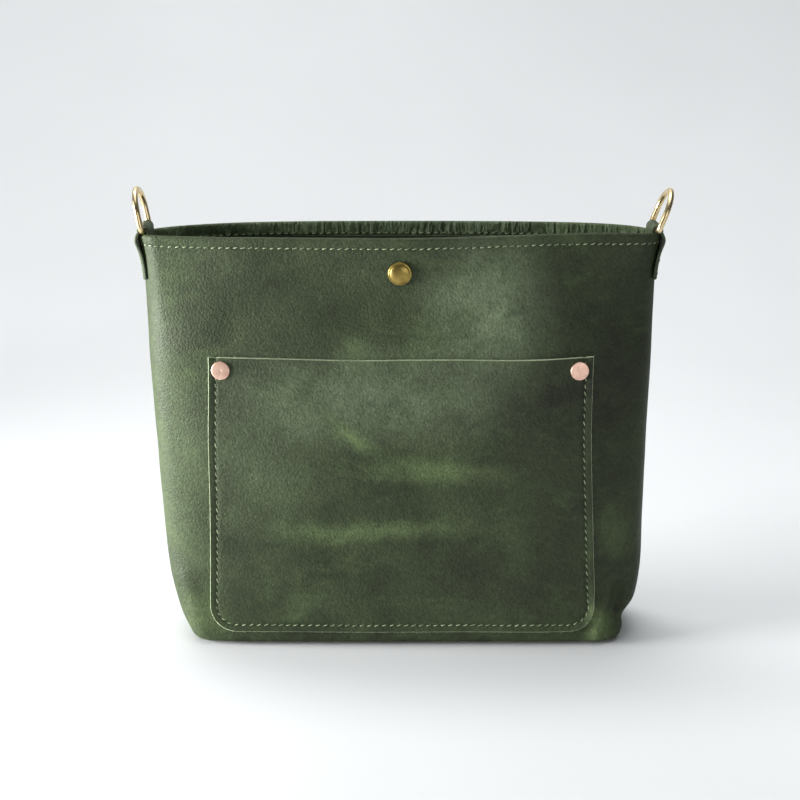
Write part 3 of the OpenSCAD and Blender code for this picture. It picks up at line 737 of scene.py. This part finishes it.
# %% [markdown]
# ## Patch pocket
# The pocket is one more piece of the same hide, cut with raw edges and laid flat on the front.
# It is a grid again: rows and columns crowd together near the outline, so that the rounded cut
# edge and the pressed channel of the stitches come out in the mesh and not only in the bump.
# %% Pocket outline
pocket_low, pocket_high = (np.array(c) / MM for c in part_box("pocket_panel"))
pocket_z, pocket_top = pocket_low[2] + 0.4, pocket_high[2]
corner_r, stitch_in = 18.0, 4.6
close = np.array([0, 0.15, 0.4, 0.8, 1.6, 2.8, 3.6, 4.2, 4.6, 5.0, 5.6, 6.6, 8.2, 10.5])
def pocket_middle(z):
    """The pocket leans with the bag, and its right side is drawn in at half height"""
    return 0.5 + 1.6 * (1 - z / rim_z) ** 2.5 - 0.9 * np.exp(-((z - 140) / 40) ** 2)
def pocket_side(z):
    """Half the pocket's width, before its corners are rounded"""
    down = np.clip((pocket_top - z) / (pocket_top - pocket_z), 0, 1)
    return 121.7 + 6.3 * down ** 1.2 - 0.8 * np.sin(np.pi * down)
def pocket_rim(x):
    """Height of the top edge, which dips in the middle and was nicked by the needle"""
    dip = 1.2 * (np.abs(x) / 120) ** 2 - 0.9 + 0.25 * np.sin(x / 17)
    nick = 0.5 * np.exp(-((np.abs(x) - 117) / 1.2) ** 2)
    return pocket_top + dip - nick
def corner_width(z):
    """Half the pocket's width at z, corners rounded"""
    up = np.clip(z - pocket_z, 0, corner_r)
    return pocket_side(z) - corner_r + np.sqrt(np.maximum(0, corner_r**2 - (corner_r - up) ** 2))
def from_outline(x, z):
    """Distance in from the sides and the bottom of the pocket"""
    x = np.abs(x - pocket_middle(z))
    dx, dz = x - (pocket_side(z) - corner_r), corner_r - (z - pocket_z)
    round_corner = corner_r - np.hypot(np.maximum(dx, 0), np.maximum(dz, 0))
    return np.where((dx > 0) & (dz > 0), round_corner,
                    np.minimum(pocket_side(z) - x, z - pocket_z))
# %% Pocket mesh
span = pocket_top - 7.6 - (pocket_z + close[-1])
row_share = np.concatenate([close, close[-1] + np.arange(2.6, span, 2.6)])
drop = np.array([4.0, 2.8, 1.8, 1.0, 0.4, 0.15, 0.0])
def pocket_grid():
    """Flat x and z of the pocket's points, rows by columns"""
    across = np.linspace(-1, 1, 92)
    rows = []
    for up in row_share:
        z = pocket_z + up
        w = corner_width(z)
        inner = across[1:-1] * (w - close[-1])
        x = np.concatenate([-(w - close), inner, (w - close)[::-1]]) + pocket_middle(z)
        rows.append(np.stack([x, np.full_like(x, z)], axis=1))
    for fall in drop:
        w = pocket_side(pocket_top)
        x = np.concatenate([-(w - close), across[1:-1] * (w - close[-1]), (w - close)[::-1]])
        x = x + pocket_middle(pocket_top)
        rows.append(np.stack([x, pocket_rim(x) - fall], axis=1))
    return np.array(rows)
flat = pocket_grid()
inset = from_outline(flat[..., 0], flat[..., 1])
edge = np.minimum(inset, pocket_rim(flat[..., 0]) - flat[..., 1])
rounding = 0.75 * (1 - np.sqrt(np.clip(1 - (1 - np.clip(edge, 0, 0.8) / 0.8) ** 2, 0, 1)))
channel = 0.55 * np.exp(-((inset - stitch_in) / 0.9) ** 2)
# outside the stitches the margin curls up towards its cut edge
curl = 1.0 * np.clip(1 - inset / stitch_in, 0, 1) ** 1.3
rough = wobble(np.stack([flat[..., 0], 0 * flat[..., 0], flat[..., 1]], -1), 2.3, 6.1)
ragged = 0.16 * rough * (edge < 0.3)
face, pocket_out = on_front(flat[..., 0] + ragged, flat[..., 1] + ragged,
                            leather + 0.15 + curl - rounding - channel)
behind, _ = on_front(flat[..., 0], flat[..., 1], 0.12 + 0.8 * curl)
rows, columns = flat.shape[:2]
sheet, ring, pocket_faces = skin_faces(rows, columns)
pocket_points = np.concatenate([face.reshape(-1, 3), behind.reshape(-1, 3)])
centre_edge = edge.reshape(-1)[sheet].mean(axis=1)
pocket_kinds = np.concatenate([np.where(centre_edge < 0.45, 2, 0), np.ones(len(sheet), int),
                               np.full(len(ring), 2)])
pocket_normals = point_normals(pocket_points, pocket_faces)
column_of = np.concatenate([sheet[:, 0] % columns, sheet[:, 0] % columns,
                            np.minimum(ring % columns, np.roll(ring, -1) % columns)])
for half, side in (("left", -1), ("right", 1)):
    mine = column_of < columns // 2 if side < 0 else column_of >= columns // 2
    piece = make_piece(f"pocket_{half}", pocket_points, pocket_faces[mine], leather_kinds,
                       pocket_kinds[mine], pocket_normals)
    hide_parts("pocket_panel")
    follow_mouth(piece)
    print(piece.name, len(piece.data.vertices), "points")
# %% [markdown]
# ## Stitches
# A lockstitch shows as a row of separate dashes: the thread rises from one needle hole, lies
# slanted over the leather and dives into the next. Each stitch is a short tube on such an arc,
# made from one small template that is placed along the row with its own frame of three
# directions. Each hole is a small dark oval under the stitch's ends.
# %% Stitch builder
def place_along(path, out, pitch, from_start=0.0, to_end=0.0):
    """Evenly spaced spots along a path: points, directions along it and directions out"""
    run = np.concatenate([[0], np.cumsum(np.linalg.norm(np.diff(path, axis=0), axis=1))])
    free = run[-1] - from_start - to_end
    steps = max(1, int(round(free / pitch)))
    at = from_start + (np.arange(steps) + 0.5) * free / steps
    def read(s, values):
        return np.stack([np.interp(s, run, values[:, k]) for k in range(3)], axis=1)
    along = unit(read(at + 0.8, path) - read(at - 0.8, path))
    up = read(at, out)
    up = unit(up - (up * along).sum(1, keepdims=True) * along)
    return read(at, path), along, up
def stitch_template(length, slant, thick):
    """Tube over an arc: local points along, across and out"""
    t = np.linspace(0, 1, 9)
    spine = np.stack([(t - 0.5) * length, (t - 0.5) * slant,
                      -0.45 + (0.45 + 0.22) * np.sin(np.pi * t) ** 0.5], axis=1)
    turn = np.linspace(0, 2 * np.pi, 8, endpoint=False)
    width = thick / 2 * (0.72 + 0.28 * np.sin(np.pi * t) ** 0.5)
    rise = np.gradient(spine, axis=0)
    tangent = unit(rise)
    across = unit(np.cross(np.broadcast_to([0, 0, 1.0], tangent.shape), tangent))
    top = np.cross(tangent, across)
    tube = (spine[:, None] + width[:, None, None]
            * (np.cos(turn)[None, :, None] * across[:, None]
               + 0.86 * np.sin(turn)[None, :, None] * top[:, None]))
    return tube.reshape(-1, 3), tube_faces(8, 9, 8)
def hole_template(length, slant):
    """Two dark ovals, one at each end of a stitch"""
    turn = np.linspace(0, 2 * np.pi, 10, endpoint=False)
    points, faces = [], []
    for end in (-1, 1):
        centre = np.array([end * (length / 2 + 0.12), end * slant / 2, 0.05])
        oval = np.stack([0.62 * np.cos(turn), 0.42 * np.sin(turn), 0 * turn], axis=1)
        start = len(points)
        points += [centre + (0, 0, 0.02)] + list(centre + oval)
        for k in range(0, 10, 2):
            faces.append([start, start + 1 + k, start + 2 + k, start + 1 + (k + 2) % 10])
    return np.array(points), np.array(faces)
def sew(path, out, pitch=4.7, length=3.3, slant=0.9, thick=0.62, start=0.0, end=0.0, seed=1):
    """Stitches along a path on the leather: points, quads, materials and middles"""
    spots, along, up = place_along(path, out, pitch, start, end)
    side = np.cross(up, along)
    random = np.random.default_rng(seed)
    parts, quads, kinds, middles, count = [], [], [], [], 0
    for (local, faces), kind in ((stitch_template(length, slant, thick), 0),
                                 (hole_template(length, slant), 1)):
        for k in range(len(spots)):
            tilt = 0 if kind else random.normal(0, 0.05)
            jitter = 0 if kind else random.normal(0, 0.05)
            moved = (spots[k] + local[:, :1] * along[k]
                     + (local[:, 1:2] + tilt * local[:, :1] + jitter) * side[k]
                     + local[:, 2:] * up[k])
            parts.append(moved)
            quads.append(faces + count)
            kinds.append(np.full(len(faces), kind))
            middles.append(np.full(len(faces), spots[k][0]))
            count += len(local)
    return (np.concatenate(parts), np.concatenate(quads), np.concatenate(kinds),
            np.concatenate(middles))
def join(*sewn):
    """Several sewn rows as one"""
    points, quads, kinds, middles, count = [], [], [], [], 0
    for p, q, k, m in sewn:
        points.append(p)
        quads.append(q + count)
        kinds.append(k)
        middles.append(m)
        count += len(p)
    return tuple(np.concatenate(part) for part in (points, quads, kinds, middles))
def thread_piece(name, sewn, node, mine=None):
    """Stitches as an object that stands for a thread of the frame"""
    points, quads, kinds, middles = sewn
    mine = slice(None) if mine is None else mine
    piece = make_piece(name, points, quads[mine], [sewing_thread, needle_hole], kinds[mine])
    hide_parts(node)
    return piece
def thread_halves(name, sewn, node):
    """Stitches of a wall, cut at its middle like the wall"""
    for half, side in (("left", -1), ("right", 1)):
        piece = thread_piece(f"{name}_{half}", sewn, node, sewn[3] * side > 0)
        follow_mouth(piece)
# %% [markdown]
# The hem is held by one row 7 mm under the rim that shows on both faces: outside on the wall and
# inside on the turned hem. Both follow the same row of the panel's grid.
# %% Rim stitches
def rim_row(panel, inside):
    """Path and outward directions of the needle row, outside or on the hem"""
    needle_z = stitch_z if panel is front else back_stitch_z
    row = len(base_share) + int(np.argmin(np.abs(wall_z - needle_z)))
    keep = slice(7, -7)
    out = panel["out"][row][keep]
    path = panel["outer"][row][keep]
    if inside:
        flat_out = unit(out * (1, 1, 0))
        return path - flat_out * (2 * leather + 0.12), -out
    return path + out * 0.05, out
for name, panel, body in (("front", front, "mouth_front"), ("back", back, "mouth_back")):
    rows_sewn = [sew(*rim_row(panel, inside), seed=3 + inside) for inside in (False, True)]
    thread_halves(f"{name}_rim_stitches", join(*rows_sewn), f"{name}_rim_thread")
# %% Pocket stitches
def pocket_needle_path():
    """Down the left side, round both corners and up the right side, on the pocket's face"""
    r = corner_r - stitch_in
    zs = np.arange(pocket_top - 1.5, pocket_z + corner_r, -2.0)
    turn = np.radians(np.arange(0, 91, 7.5))
    left = [(-(pocket_side(z) - stitch_in) + pocket_middle(z), z) for z in zs]
    wide = pocket_side(pocket_z) - corner_r
    left += [(-wide - r * math.cos(a) + pocket_middle(pocket_z),
              pocket_z + corner_r - r * math.sin(a)) for a in turn]
    floor = [(x, pocket_z + stitch_in) for x in np.arange(-wide + 4, wide, 4.0)]
    right = [(2 * pocket_middle(z) - x, z) for x, z in left[::-1]]
    line = np.array(left + floor + right)
    return on_front(line[:, 0], line[:, 1], np.full(len(line), leather - 0.32))
pocket_sewn = sew(*pocket_needle_path(), pitch=4.9, length=3.4, slant=1.25, seed=8)
thread_halves("pocket_stitches", pocket_sewn, "pocket_thread")
print("pocket stitches", (pocket_sewn[2] == 0).sum() // 64)
# %% [markdown]
# ## Turned metal parts
# Rivets, burrs and the snap are all turned or spun, so each is a profile swung round an axis. A
# profile is a list of radius and height; small radii at the corners catch the light as on
# real stamped metal.
# %% Turned parts
def turned(name, profile, centre, axis, material, segments=64):
    """A profile of (radius, height) pairs swung round an axis through centre, in mm"""
    axis = unit(np.array(axis, float))
    side = unit(np.cross(axis, (0.3, 0.2, 0.9)))
    other = np.cross(axis, side)
    turn = np.linspace(0, 2 * np.pi, segments, endpoint=False)
    ring = np.cos(turn)[:, None] * side + np.sin(turn)[:, None] * other
    points = np.array([np.array(centre) + r * ring + h * axis for r, h in profile]).reshape(-1, 3)
    n = len(profile)
    return make_piece(name, points, tube_faces(n - 1, n, segments), [material])
def arc(centre, radius, start, stop, steps=6):
    """Points of a profile on a round corner, angles in degrees from the radius direction"""
    return [(centre[0] + radius * math.cos(a), centre[1] + radius * math.sin(a))
            for a in np.radians(np.linspace(start, stop, steps))]
# %% [markdown]
# The pocket's top corners are held by number 9 copper rivets: a flat head outside, a washer
# called a burr inside, and the shank hammered over it. The head was struck with a flat set, so
# it is very slightly domed with a dimple and two faint rings.
# %% Rivets
rivet_head = ([(0.02, 1.22), (0.5, 1.20), (0.9, 1.30), (1.9, 1.34), (2.3, 1.30), (2.7, 1.34),
               (4.0, 1.30), (4.3, 1.25), (4.6, 1.27)] + arc((5.45, 0.72), 0.5, 80, -10, 7)
              + [(5.9, 0.3), (5.7, 0.02), (1.7, 0.0), (1.65, -5.2), (1.3, -5.9), (0.02, -6.0)])
burr = [(1.72, 0.5), (4.3, 0.5)] + arc((4.5, 0.25), 0.25, 90, -90) + [(1.72, 0.0), (1.72, 0.5)]
for name, side in (("left", -1), ("right", 1)):
    low, high = (np.array(c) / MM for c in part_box(f"{name}_pocket_rivet"))
    x, z = (low[0] + high[0]) / 2 - side * 0.9, (low[2] + high[2]) / 2
    spot, out = on_front(np.array(x), np.array(z), np.array(leather + 0.15))
    rivet = turned(f"{name}_rivet", rivet_head, spot, out, bare_copper)
    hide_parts(f"{name}_pocket_rivet")
    washer = turned(f"{name}_burr", burr, spot - out * (2 * leather + 1.35), out, bare_copper)
    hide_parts(f"{name}_pocket_burr")
    for piece in (rivet, washer):
        follow_mouth(piece)
    print(name, "rivet at", np.round(spot, 1))
# %% [markdown]
# ## Press snap
# A 15 mm cap with a rolled rim holds a ring-spring socket on the front. The stud sits opposite,
# on a flat post through the back. The outlines follow the frame's parts, with the rolled rim,
# the step inside it and the shallow dome drawn out.
# %% Snap halves
snap_box = [np.array(c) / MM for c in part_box("snap_cap")]
snap_z = (snap_box[0][2] + snap_box[1][2]) / 2
snap_spot, snap_out = on_front(np.array(0.0), np.array(snap_z))
cap = ([(0.02, 3.10), (1.2, 3.07), (2.4, 2.97), (3.6, 2.80), (4.6, 2.56), (5.4, 2.27), (5.9, 2.02),
        (6.15, 1.82), (6.3, 1.72), (6.42, 1.72)] + arc((6.68, 1.02), 0.82, 105, -75, 10)
       + [(6.5, 0.12), (2.1, 0.1), (2.1, -2.3), (0.02, -2.3)])
socket = ([(2.1, 0.0), (5.4, 0.0)] + arc((5.5, -0.8), 0.8, 90, -60, 7)
          + [(5.75, -3.2), (5.4, -3.7), (4.4, -3.8), (3.75, -3.6), (3.6, -3.2), (3.6, -0.6),
             (0.02, -0.5)])
stud = [(0.02, -3.4), (1.6, -3.38)] + arc((2.35, -2.6), 0.8, -80, 70, 8) + [
    (2.3, -1.7), (2.25, -1.0), (2.7, -0.85), (6.0, -0.8), (6.3, -0.55), (6.3, -0.25), (6.0, 0.0),
    (2.1, 0.0)]
post = [(0.02, 0.9), (5.4, 0.9)] + arc((5.6, 0.5), 0.4, 80, -80) + [(5.2, 0.0), (2.1, 0.0),
                                                                    (2.1, -2.2), (0.02, -2.2)]
back_row = back["outer"][len(base_share) + int(np.argmin(np.abs(wall_z - (snap_z))))][middle]
back_spot = np.array([0.0, back_row[1], snap_z])
inward = -leather - 0.1
for name, profile, spot, out, shift, body in (
        ("snap_cap", cap, snap_spot, snap_out, 0.1, "mouth_front"),
        ("snap_socket", socket, snap_spot, snap_out, inward, "mouth_front"),
        ("snap_stud", stud, back_spot, np.array([0, 1.0, 0]), inward, "mouth_back"),
        ("snap_post", post, back_spot, np.array([0, 1.0, 0]), 0.1, "mouth_back")):
    piece = turned(f"{name}_turned", profile, spot + out * shift, out, antique_brass, 96)
    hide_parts(name)
    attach(piece, body)
print("snap at", np.round(snap_spot, 1), "stud at", np.round(back_spot, 1))
# %% [markdown]
# ## D rings
# Each ring is 3.8 mm brass wire bent to a D for a 25 mm strap and brazed shut on its straight
# side, which lies in the tab. It is a round section swept along the D, whose lower corners have
# the radius of the bending pin. The rings stand as they were left, leaning outwards.
# %% D rings
wire_r, ring_r, rise = 1.9, 14.4, 10.8
def d_path():
    """Middle line of the D in its own plane: y across and z up from the bar"""
    bend = 3.4
    line = [(y, 0.0) for y in np.linspace(-ring_r + bend, ring_r - bend, 9)[:-1]]
    line += [(ring_r - bend + bend * math.sin(a), bend - bend * math.cos(a))
             for a in np.linspace(0, np.pi / 2, 7)[:-1]]
    line += [(ring_r, z) for z in np.linspace(bend, rise, 4)[:-1]]
    line += [(ring_r * math.cos(a), rise + ring_r * math.sin(a))
             for a in np.linspace(0, np.pi, 33)[:-1]]
    line += [(-ring_r, z) for z in np.linspace(rise, bend, 4)[:-1]]
    line += [(-ring_r + bend - bend * math.cos(a), bend - bend * math.sin(a))
             for a in np.linspace(0, np.pi / 2, 7)[:-1]]
    return np.array([(0, y, z) for y, z in line])
def swept_ring(name, centre, lean):
    """Round wire along the D, leaned about the bar"""
    line = d_path()
    count, around = len(line), 20
    tangent = unit(np.roll(line, -1, axis=0) - np.roll(line, 1, axis=0))
    flat_out = np.cross(tangent, (1, 0, 0))
    turn = np.linspace(0, 2 * np.pi, around, endpoint=False)
    tube = (line[:, None] + wire_r * (np.cos(turn)[None, :, None] * np.array([1.0, 0, 0])
                                      + np.sin(turn)[None, :, None] * flat_out[:, None]))
    tube = tube.reshape(-1, 3)
    c, s = math.cos(lean), math.sin(lean)
    tube = np.stack([c * tube[:, 0] + s * tube[:, 2], tube[:, 1],
                     -s * tube[:, 0] + c * tube[:, 2]], axis=1) + centre
    return make_piece(name, tube, tube_faces(count, count, around), [polished_brass])
joints = {j["name"]: j for j in frame["record"]["behaviour"]["joints"]}
bars = {}
for name, lean in (("left", math.radians(-10)), ("right", math.radians(20))):
    bars[name] = np.array(joints[f"{name}_ring_swing"]["pos_m"]) / MM
    piece = swept_ring(f"{name}_d_ring", bars[name], lean)
    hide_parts(f"{name}_ring")
    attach(piece, f"{name}_ring")
    print(piece.name, "bar at", bars[name])
# %% [markdown]
# ## Ring tabs
# A strip of strap leather 20 mm wide is folded over the bar. Its short leg goes down inside the
# bag and the long leg bulges out and is sewn flat on the side seam. The strip is a
# grid along its length and across its width; near the wall its edges bend back with the bag.
# %% Tabs
tab_w, tab_t, loop_r = 20.0, 1.7, 2.2
def outer_leg_x(z):
    """X of the tab's outer leg on the face that lies against the bag"""
    knots = [243, 251, 259, 265.4, 269.5, 272.6, 276]
    widths = [162.9, 163.5, 164.9, 166.8, 167.3, 165.6, 163.0]
    return sum(np.interp(z + d, knots, widths) for d in (-1.8, -0.9, 0, 0.9, 1.8)) / 5
def tab_path(bar_x, bar_z):
    """Middle of the strip's inner face from the inner leg's end, over the bar, down outside"""
    top = rim_z + 0.6
    inner_x = 156.5
    inner = [(inner_x + (bar_x - loop_r - inner_x) * smooth_step(z, 262, top), z)
             for z in np.linspace(250, top, 12)]
    over = [(bar_x - loop_r * math.cos(a), bar_z + loop_r * math.sin(a))
            for a in np.linspace(0.12, np.pi - 0.12, 13)]
    outer = [(float(outer_leg_x(z)) + (bar_x + loop_r - float(outer_leg_x(top)))
              * float(smooth_step(z, 266, top)), z) for z in np.linspace(top, 243, 26)]
    return np.array(inner + over + outer)
def tab_piece(name, side):
    """A folded strip with rounded raw edges and its two rows of stitches"""
    bar = bars[name]
    line = tab_path(abs(bar[0]), bar[2])
    tangent = unit(np.gradient(line, axis=0))
    away = np.stack([-tangent[:, 1], tangent[:, 0]], axis=1)
    v = np.array([-1, -0.985, -0.95, -0.9, -0.75, -0.5, -0.25, 0, 0.25, 0.5, 0.75, 0.9, 0.95,
                  0.985, 1]) * tab_w / 2
    soft = np.clip((np.abs(v) - tab_w / 2 + 0.8) / 0.8, 0, 1)
    pull = 1 - smooth_step(line[:, 1], 258, 274)
    wrap = 2.0 * (np.abs(v) / 10) ** 3
    grids = []
    for skin, offset in ((1, tab_t), (-1, 0.0)):
        off = offset - skin * 0.35 * soft ** 2
        x = line[:, 0][:, None] + away[:, 0][:, None] * off - pull[:, None] * wrap
        z = line[:, 1][:, None] + away[:, 1][:, None] * off
        y = np.broadcast_to(v, x.shape)
        grids.append(np.stack([x, y, z], axis=-1))
    grids[0] += 0.12 * wobble(grids[0], 6, 2.0 + side)[..., None] * np.array([1, 0, 0])
    rows, columns = grids[0].shape[:2]
    points = np.concatenate([g.reshape(-1, 3) for g in grids]) * (side, 1, 1)
    sheet, ring, faces = skin_faces(rows, columns)
    column = sheet[:, 0] % columns
    trim = np.where((column < 1) | (column > columns - 3), 2, 0)
    kinds = np.concatenate([trim, np.where(trim == 2, 2, 1), np.full(len(ring), 2)])
    faces = faces[:, ::-1] if side < 0 else faces
    piece = make_piece(f"{name}_tab_strip", points, faces, [strap_leather, flesh_side, strap_edge],
                       kinds)
    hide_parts(f"{name}_tab")
    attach(piece, "bag")
    rows_sewn = []
    for z in (rim_z - 25, rim_z - 17):
        row = int(np.argmin(np.abs(line[-26:, 1] - z))) + len(line) - 26
        path = grids[0][row, 2:-2] * (side, 1, 1)
        out = np.broadcast_to(np.array([side * 1.0, 0, 0]), path.shape)
        rows_sewn.append(sew(path, out, pitch=4.4, length=3.0, slant=0.9, seed=40))
    stitches = thread_piece(f"{name}_tab_stitches", join(*rows_sewn), f"{name}_tab_thread")
    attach(stitches, "bag")
for name, side in (("left", -1), ("right", 1)):
    tab_piece(name, side)
# %% [markdown]
# ## Seams inside
# Inside, each side seam, the base seam and the two boxed corners are rows of the same thread
# that lie on the flesh side. They are short dashes with no slant, as a walking-foot machine
# leaves in the valley of a turned seam.
# %% Inside seams
def straight(points, out, **more):
    """Stitches along a line of points with one outward direction"""
    points = np.array(points, float)
    return sew(points, np.broadcast_to(np.array(out, float), points.shape), slant=0.2, **more)
for name, side in (("left", -1), ("right", 1)):
    column = 0 if side < 0 else front["columns"] - 1
    rows_up = np.arange(len(base_share) + 5, len(base_share) + int(np.searchsorted(wall_z, 246)))
    seam = front["outer"][rows_up, column] - np.array([side * (leather + 0.3), 0, 0])
    seam[:, 1] = 0
    piece = thread_piece(f"{name}_seam_stitches", straight(seam, (-side, 0, 0), seed=50),
                         f"{name}_seam_thread")
    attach(piece, "bag")
    low, high = (np.array(c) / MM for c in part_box(f"{name}_corner_thread"))
    x, z = (low[0] + high[0]) / 2, leather + 0.15
    line = [(x, y, z) for y in np.linspace(low[1], high[1], 12)]
    piece = thread_piece(f"{name}_corner_stitches", straight(line, (0, 0, 1), seed=51),
                         f"{name}_corner_thread")
    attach(piece, "bag")
low, high = (np.array(c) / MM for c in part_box("base_seam_thread"))
line = [(x, 0, leather + 0.15) for x in np.linspace(low[0], high[0], 40)]
piece = thread_piece("base_seam_stitches", straight(line, (0, 0, 1), seed=52), "base_seam_thread")
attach(piece, "bag")
# %% [markdown]
# ## Loose fibres
# A raw edge is never clean: short fibres stand out along the pocket's outline. Each is a thin
# bent spike half a millimetre to a millimetre and a half long, placed with a fixed seed.
# %% Fibres on the pocket's edge
def pocket_edge_path():
    """The pocket's outline, on the face of its cut edge"""
    loop = np.concatenate([face[:, 0][::-1], face[0, 1:-1], face[:, -1]])
    top = face[-1, ::-1]
    return np.concatenate([loop, top])
# a spike's quads, by the numbers of its eight points
spike = [(0, 1, 4, 3), (1, 2, 5, 4), (2, 0, 3, 5), (3, 4, 6, 7), (4, 5, 6, 6), (5, 3, 7, 6)]
def fibres(path, count, seed):
    """Thin bent spikes along a path that lean away from the pocket"""
    random = np.random.default_rng(seed)
    middle_point = np.array([0, path[:, 1].mean(), path[:, 2].mean()])
    index = random.integers(0, len(path) - 1, count)
    share = random.random(count)[:, None]
    root = path[index] * (1 - share) + path[index + 1] * share
    outward = unit((root - middle_point) * (1, 0, 1))
    along = unit(path[index + 1] - path[index])
    outward = unit(outward - (outward * along).sum(1, keepdims=True) * along)
    lean = unit(outward + 0.9 * along * random.normal(0, 0.7, (count, 1))
                + np.array([0, -1, 0]) * np.abs(random.normal(0.15, 0.3, (count, 1))))
    length = random.gamma(3.0, 0.24, (count, 1)).clip(0.3, 1.7)
    bend = along * random.normal(0, 0.35, (count, 1)) * length
    points, quads = [], []
    for k in range(count):
        side = np.cross(lean[k], (0, -1, 0)) * 0.07
        deep = np.array([0, -0.07, 0])
        base_point = root[k] - lean[k] * 0.2
        mid = base_point + lean[k] * length[k] * 0.55
        tip = base_point + lean[k] * length[k] + bend[k]
        start = len(points)
        points += [base_point + side, base_point + deep, base_point - side,
                   mid + side * 0.7, mid + deep * 0.7, mid - side * 0.7, tip, tip + side * 0.1]
        quads += [[start + corner for corner in quad] for quad in spike]
    return np.array(points), np.array(quads), root[:, 0]
hair_points, hair_quads, hair_x = fibres(pocket_edge_path(), 620, 77)
hair_side = np.repeat(hair_x, len(spike))
for half, side in (("left", -1), ("right", 1)):
    piece = make_piece(f"pocket_fibres_{half}", hair_points, hair_quads[hair_side * side > 0],
                       [cut_edge])
    follow_mouth(piece)
# %% [markdown]
# ## Floor, backdrop and light
# The bag stands on a pale sweep of painted board that curves up behind it. A long soft box on
# the left is the key light; it rakes across the front so the grain shows. A panel overhead lifts
# the floor, one more lights the backdrop, and a small low one gives the metal something to
# reflect. The right side gets little more than the floor's bounce.
# %% Floor and backdrop
def sweep_material():
    """Matt painted board"""
    material, shader, place = new_material("painted_board")
    mottle = add_node(material, "TexNoise",
                      {"Vector": place, "Scale": per_mm(400), "Detail": 2.0}).outputs["Fac"]
    tone = add_node(material, "ValToRGB", {"Fac": mottle},
                    stops=[(0.3, linear("e3e5e6")), (0.7, linear("e7e9ea"))]).outputs[0]
    dress(material, shader, {"Base Color": tone}, Roughness=0.75)
    return material
def sweep():
    """Floor that curves up into a wall"""
    profile = [(-2500, 0), (-800, 0), (300, 0), (900, 0)]
    profile += [(900 + 700 * math.sin(a), 700 - 700 * math.cos(a))
                for a in np.linspace(0.1, np.pi / 2, 12)]
    profile += [(1600, 1600), (1600, 3200)]
    xs = np.linspace(-2600, 2600, 9)
    points = np.array([[(x, y, z) for x in xs] for y, z in profile]).reshape(-1, 3)
    piece = make_piece("sweep", points, grid_faces(len(profile), len(xs)), [sweep_material()])
sweep()
# %% Lights
def soft_box(name, location, aim, size, power, spread=180):
    """A rectangular area light that faces a point"""
    lamp = bpy.data.lights.new(name, "AREA")
    lamp.shape, lamp.size, lamp.size_y = "RECTANGLE", *size
    lamp.energy, lamp.spread = power, math.radians(spread)
    holder = bpy.data.objects.new(name, lamp)
    holder.location = location
    holder.rotation_euler = (Vector(aim) - Vector(location)).to_track_quat("-Z", "Y").to_euler()
    bpy.context.scene.collection.objects.link(holder)
soft_box("key_left", (-1.10, -0.20, 0.23), (0, 0, 0.20), (0.5, 0.4), 7.2, spread=75)
soft_box("overhead", (-0.2, 0.00, 2.2), (-0.10, 0.05, 0), (2.6, 1.8), 22)
soft_box("backdrop", (-0.4, 0.70, 2.4), (-0.2, 1.6, 0.5), (2.0, 0.8), 32)
soft_box("low_front", (0.55, -1.25, 0.30), (0, 0, 0.2), (0.8, 0.4), 2.6)
world = bpy.data.worlds.new("studio")
world.use_nodes = True
world.node_tree.nodes["Background"].inputs["Color"].default_value = (0.90, 0.95, 1.0, 1)
world.node_tree.nodes["Background"].inputs["Strength"].default_value = 0.11
bpy.context.scene.world = world
